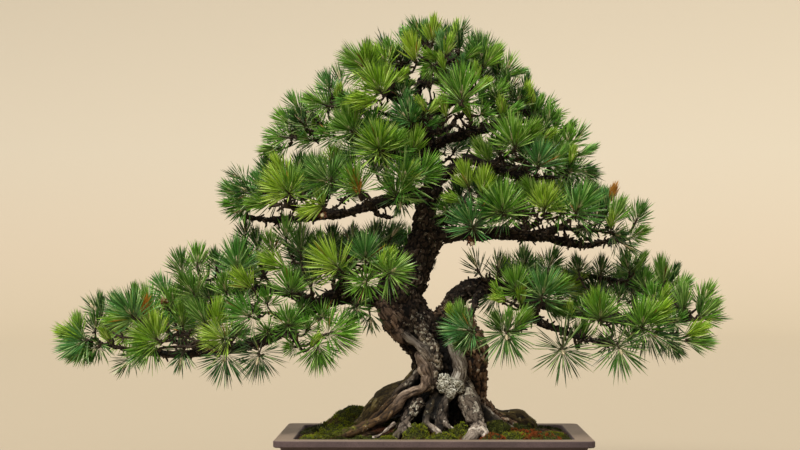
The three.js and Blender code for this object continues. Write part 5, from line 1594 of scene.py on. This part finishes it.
# Cushions as x, y, half sizes and height, with the colour of their moss.
CUSHIONS = [
    (-158, -20, 36, 34, 5, "green"), (-128, 34, 54, 44, 3, "green"), (-28, -108, 23, 18, 22, "green"),
    (14, -124, 27, 14, 13, "green"), (44, -92, 20, 16, 18, "green"), (108, -56, 30, 24, 15, "dark"),
    (128, -104, 26, 18, 12, "green"), (94, -124, 22, 15, 11, "rust"), (152, -76, 34, 26, 11, "rust"),
    (170, -114, 32, 22, 13, "rust"), (142, -20, 26, 20, 9, "dark"), (-74, -124, 20, 12, 9, "green"),
    (-112, -118, 26, 14, 8, "dark"), (-192, -92, 26, 30, 6, "green"), (-150, -124, 20, 14, 6, "dark"),
    (-200, 20, 26, 30, 4, "dark"), (-150, 100, 34, 24, 5, "green"), (-70, 120, 28, 18, 5, "dark"),
    (10, 126, 30, 16, 5, "green"), (110, 96, 38, 26, 6, "green"), (190, 70, 28, 30, 5, "dark"),
    (200, -30, 22, 28, 4, "green"), (-50, -70, 24, 18, 6, "dark"), (28, -92, 26, 16, 7, "dark"),
    (212, -90, 14, 20, 3, "dark"), (-96, 130, 24, 14, 4, "green"), (60, 118, 22, 16, 4, "dark"),
]


def soil_height(x, y):
    """The soil's own height, in millimetres: its mounds, and a slight ripple."""
    height = SOIL_LOW
    for cx, cy, rx, ry, rise in MOUNDS:
        height = height + rise * np.exp(-((x - cx) / rx) ** 2 - ((y - cy) / ry) ** 2)
    return height + 1.5 * np.sin(x / 17) * np.cos(y / 13)


def moss_rise(x, y):
    """How far moss lifts the skin here, in millimetres."""
    rise = np.zeros_like(x)
    for cx, cy, rx, ry, height, _ in CUSHIONS:
        reach = np.clip(1 - ((x - cx) / rx) ** 2 - ((y - cy) / ry) ** 2, 0, 1)
        lumps = 1 + 0.3 * np.sin(x / 3.1 + cy) * np.sin(y / 2.7 + cx)
        rise = np.maximum(rise, height * lumps * reach ** 0.7)
    return rise


def fit_in_wall(x, y):
    """Move a point of the soil's rectangle into the same one with rounded corners."""
    corner = Vector((TOP_X - CORNER_RADIUS, TOP_Y - CORNER_RADIUS))
    over = Vector((abs(x) - corner.x, abs(y) - corner.y))
    if over.x > 0 and over.y > 0 and over.length > CORNER_RADIUS:
        over *= CORNER_RADIUS / over.length
        return math.copysign(corner.x + over.x, x), math.copysign(corner.y + over.y, y)
    return x, y


# %% The soil's skin
SOIL_STEP = 2.6
GRAIN_SIZE = 4.2
GRAIN_RISE = 1.3
FOOT_X, FOOT_Y = HALF_LENGTH - BOTTOM_INSET, HALF_WIDTH - BOTTOM_INSET
BARE = 0.5

soil = bmesh.new()
bmesh.ops.create_grid(soil, x_segments=round(2 * TOP_X / SOIL_STEP),
                      y_segments=round(2 * TOP_Y / SOIL_STEP), size=1)
for vertex in soil.verts:
    vertex.co.x, vertex.co.y = fit_in_wall(vertex.co.x * TOP_X, vertex.co.y * TOP_Y)
rim_edges = [edge for edge in soil.edges if edge.is_boundary]
grown = bmesh.ops.extrude_edge_only(soil, edges=rim_edges)["geom"]
for vertex in (part for part in grown if isinstance(part, bmesh.types.BMVert)):
    vertex.co.x *= FOOT_X / TOP_X
    vertex.co.y *= FOOT_Y / TOP_Y
    vertex.co.z = SOIL_BOTTOM
bottom_edges = [part for part in grown if isinstance(part, bmesh.types.BMEdge)]
bmesh.ops.edgeloop_fill(soil, edges=bottom_edges)
top = [vertex for vertex in soil.verts if vertex.co.z < 1]
top_x, top_y = np.array([vertex.co.xy for vertex in top], float).T
rises = moss_rise(top_x, top_y)
for vertex, height, rise in zip(top, soil_height(top_x, top_y) + rises, rises):
    at = Vector((vertex.co.x, vertex.co.y, 0))
    gap = noise.voronoi(at / GRAIN_SIZE)[0]
    grain = GRAIN_RISE * (0.6 - gap[0]) if rise < BARE else 0.9 * noise.noise(at / 3.5)
    vertex.co.z = height + grain + 0.8 * noise.noise(at / 11)
bmesh.ops.recalc_face_normals(soil, faces=soil.faces)
bmesh.ops.scale(soil, verts=soil.verts, vec=(MM, MM, MM))
soil_mesh = as_mesh(soil, "soil_skin")
skin_x, skin_y, _ = read_rows(soil_mesh.vertices, "co").T / MM
store_floats(soil_mesh, {"mossiness": np.clip(moss_rise(skin_x, skin_y) / 2.5, 0, 1)})

# %% Material: gritty bonsai soil
gritty_soil, tree, shader = new_material("gritty_bonsai_soil")
spots = object_place(tree)
# Grains 4 mm wide, each with its own shade: dark humus, brown bark and a few pale bits of pumice.
grains = add_node(tree, "ShaderNodeTexVoronoi", {"Vector": spots, "Scale": 240.0})
grain_shade = add_node(tree, "ShaderNodeSeparateColor", {"Color": grains.outputs["Color"]}).outputs[0]
ground = ramp(tree, grain_shade, (0.0, "1a110a"), (0.5, "2e2013"), (0.85, "4c3521"), (0.97, "7d6c56"))
# Fallen needles and bark have rusted over part of it.
rust_mask = slope(tree, clouds(tree, spots, 22.0, 3.0), 0.52, 0.64, 0.0, 0.6)
ground = covered(tree, rust_mask, ground, linear("5b3019"))
# The skin under a cushion is painted dark, as the shade between its sprigs.
moss_skin = ramp(tree, clouds(tree, spots, 420.0, 3.0), (0.35, "0f1105"), (0.5, "282c0a"), (0.65, "4a5012"))
ground = covered(tree, attribute(tree, "mossiness"), ground, moss_skin)
feed(tree, shader, {"Base Color": ground, "Roughness": 0.95, "Specular IOR Level": 0.2,
                    "Normal": bump(tree, grains.outputs["Distance"], 0.7, 0.0015, invert=True)})
place_piece("gritty_soil", soil_mesh, gritty_soil, "soil", "soil")

# %% Moss sprigs
SPRIGS_IN_PATCH = 10
PATCH_RADIUS = 4.5
PATCH_SHAPES = 5
SPRIG_TILT = 0.6

sprig = bmesh.new()
bmesh.ops.create_cone(sprig, cap_ends=True, segments=3, radius1=0.95, radius2=0.0, depth=1)
bmesh.ops.translate(sprig, verts=sprig.verts, vec=(0, 0, 0.5))
sprig_mesh = as_mesh(sprig, "sprig")
store_floats(sprig_mesh, {"moss_kind": np.zeros(len(sprig_mesh.vertices)),
                          "sprig_height": [vertex.co.z for vertex in sprig_mesh.vertices]})


def sprig_patch(seed):
    dice = random.Random(seed)
    parts = []
    for _ in range(SPRIGS_IN_PATCH):
        spread = PATCH_RADIUS * math.sqrt(dice.random())
        turn = dice.uniform(0, math.tau)
        place = Vector((spread * math.cos(turn), spread * math.sin(turn), -0.8))
        tilts = [Matrix.Rotation(dice.uniform(-SPRIG_TILT, SPRIG_TILT), 3, axis) for axis in "XY"]
        size = (0.9, 0.9, dice.uniform(2.2, 4.2))
        matrix = Matrix.LocRotScale(place, (tilts[0] @ tilts[1]).to_quaternion(), size)
        parts.append((sprig_mesh, matrix, {}))
    return gathered(f"sprig_patch_{seed}", parts)


# %% Moss on the soil and the roots
MOSS_SHADES = {"dark": (0.0, 0.35), "green": (0.45, 0.75), "rust": (0.85, 1.0)}
HIGH_CUSHION = 10
THICK_MOSS, THIN_MOSS = 0.12, 0.07
ROOM_AT_WALL = 6
TOWARDS_RIM = 0.4
LEAN_OUT = -1.1
ROUND = 6.28
DAMP = 0.42
ROOT_PATCHES = 620

patches_of_sprigs = [sprig_patch(seed) for seed in range(PATCH_SHAPES)]
dice = random.Random(77)
parts = []
for cx, cy, rx, ry, height, shade in CUSHIONS:
    for _ in range(round(rx * ry * (THICK_MOSS if height > HIGH_CUSHION else THIN_MOSS))):
        spread = dice.random() ** TOWARDS_RIM
        turn = dice.uniform(0, math.tau)
        x = cx + rx * spread * math.cos(turn)
        y = cy + ry * spread * math.sin(turn)
        if abs(x) > TOP_X - ROOM_AT_WALL or abs(y) > TOP_Y - ROOM_AT_WALL:
            continue
        here = np.array([x]), np.array([y])
        z = float((soil_height(*here) + moss_rise(*here))[0])
        up = Vector((cx - x, cy - y, 0)) * (LEAN_OUT / max(rx, ry)) + Vector((0, 0, 1))
        roll = Matrix.Rotation(dice.uniform(0, ROUND), 3, "Z").to_quaternion()
        matrix = placed((x, y, z), up.to_track_quat("Z", "X") @ roll)
        patch = dice.choice(patches_of_sprigs)
        parts.append((patch, matrix, {"moss_kind": dice.uniform(*MOSS_SHADES[shade])}))

# Moss has also climbed the roots, wherever they are damp and face up.
damp = np.flatnonzero(trunk_skin["moss"] > DAMP)
for point in picks.choice(damp, ROOT_PATCHES, replace=False):
    turned = Vector(trunk_skin["normals"][point]).to_track_quat("Z", "X")
    matrix = placed(trunk_skin["places"][point], turned, Vector((0.8, 0.8, 0.7)))
    parts.append((dice.choice(patches_of_sprigs), matrix, {"moss_kind": dice.uniform(0.05, 0.6)}))
moss_mesh = gathered("moss", parts)

# %% Material: cushion moss
# Moss is soft and has no shine. Its colours run from olive to rust, and each sprig is painted light at its
# tip and dark at its foot, as light and shade.
cushion_moss, tree, shader = new_material("soft_cushion_moss")
moss_tone = ramp(tree, attribute(tree, "moss_kind"), (0.0, "25280a"), (0.35, "434a10"), (0.62, "84911c"),
                 (0.8, "5e4014"), (1.0, "8c3c16"))
sprig_tip_light_and_foot_shade = slope(tree, attribute(tree, "sprig_height"), 0.0, 1.0, 0.35, 1.15)
feed(tree, shader, {"Base Color": shaded(tree, 1.0, moss_tone, sprig_tip_light_and_foot_shade), "Roughness": 0.9,
                    "Specular IOR Level": 0.2})
place_piece("moss_cushions", moss_mesh, cushion_moss, "soil", smooth=False)

# %% [markdown]
# ## Tray
#
# The tray is unglazed stoneware: purple-brown clay, fired once and left bare. The top of its lip is
# painted lighter, partly as pale lime that water has left near the rim and partly as light from above,
# and the clay holds fine dark grit.

# %% Material: unglazed stoneware
LIME_AND_TOP_LIGHT_FROM, LIME_AND_TOP_LIGHT_TO = 0.0942, 0.0949
stoneware, tree, shader = new_material("unglazed_purple_brown_stoneware")
spots = object_place(tree)
clay = ramp(tree, clouds(tree, spots, 14.0, 6.0, 0.6), (0.3, "3f3234"), (0.5, "4d3e40"), (0.7, "5d4c4d"))
grit = clouds(tree, spots, 900.0)
clay = shaded(tree, 0.5, clay, ramp(tree, grit, (0.36, "8a8280"), (0.5, "ffffff")))
level = add_node(tree, "ShaderNodeSeparateXYZ", {"Vector": spots}).outputs["Z"]
# The lip's top face is painted lighter: pale lime near the rim, and painted light from above.
clay = covered(tree, slope(tree, level, LIME_AND_TOP_LIGHT_FROM, LIME_AND_TOP_LIGHT_TO, 0.0, 0.6), clay, linear("8f7d68"))
feed(tree, shader, {"Base Color": clay, "Roughness": 0.72, "Normal": bump(tree, grit, 0.35, 0.0006)})

# %% Material: black screen plastic
# The screens are woven of black plastic, scuffed grey and half dull.
screen_plastic, tree, shader = new_material("black_polyethylene_mesh")
spots = object_place(tree)
scuffs = ramp(tree, clouds(tree, spots, 300.0, 3.0), (0.4, "191b1a"), (0.7, "2c2e2c"))
feed(tree, shader, {"Base Color": scuffs, "Roughness": 0.5})

for node, material in (("tray", stoneware), ("drain_screen_left", screen_plastic),
                       ("drain_screen_right", screen_plastic)):
    carried = frame["nodes"][node]
    carried.data.materials.clear()
    carried.data.materials.append(material)

# %% Sizes, and the end
shown = [o for o in bpy.context.scene.objects if o.type == "MESH" and not o.hide_render]
for piece in shown:
    piece.data.calc_loop_triangles()
print("triangles in all:", sum(len(piece.data.loop_triangles) for piece in shown))
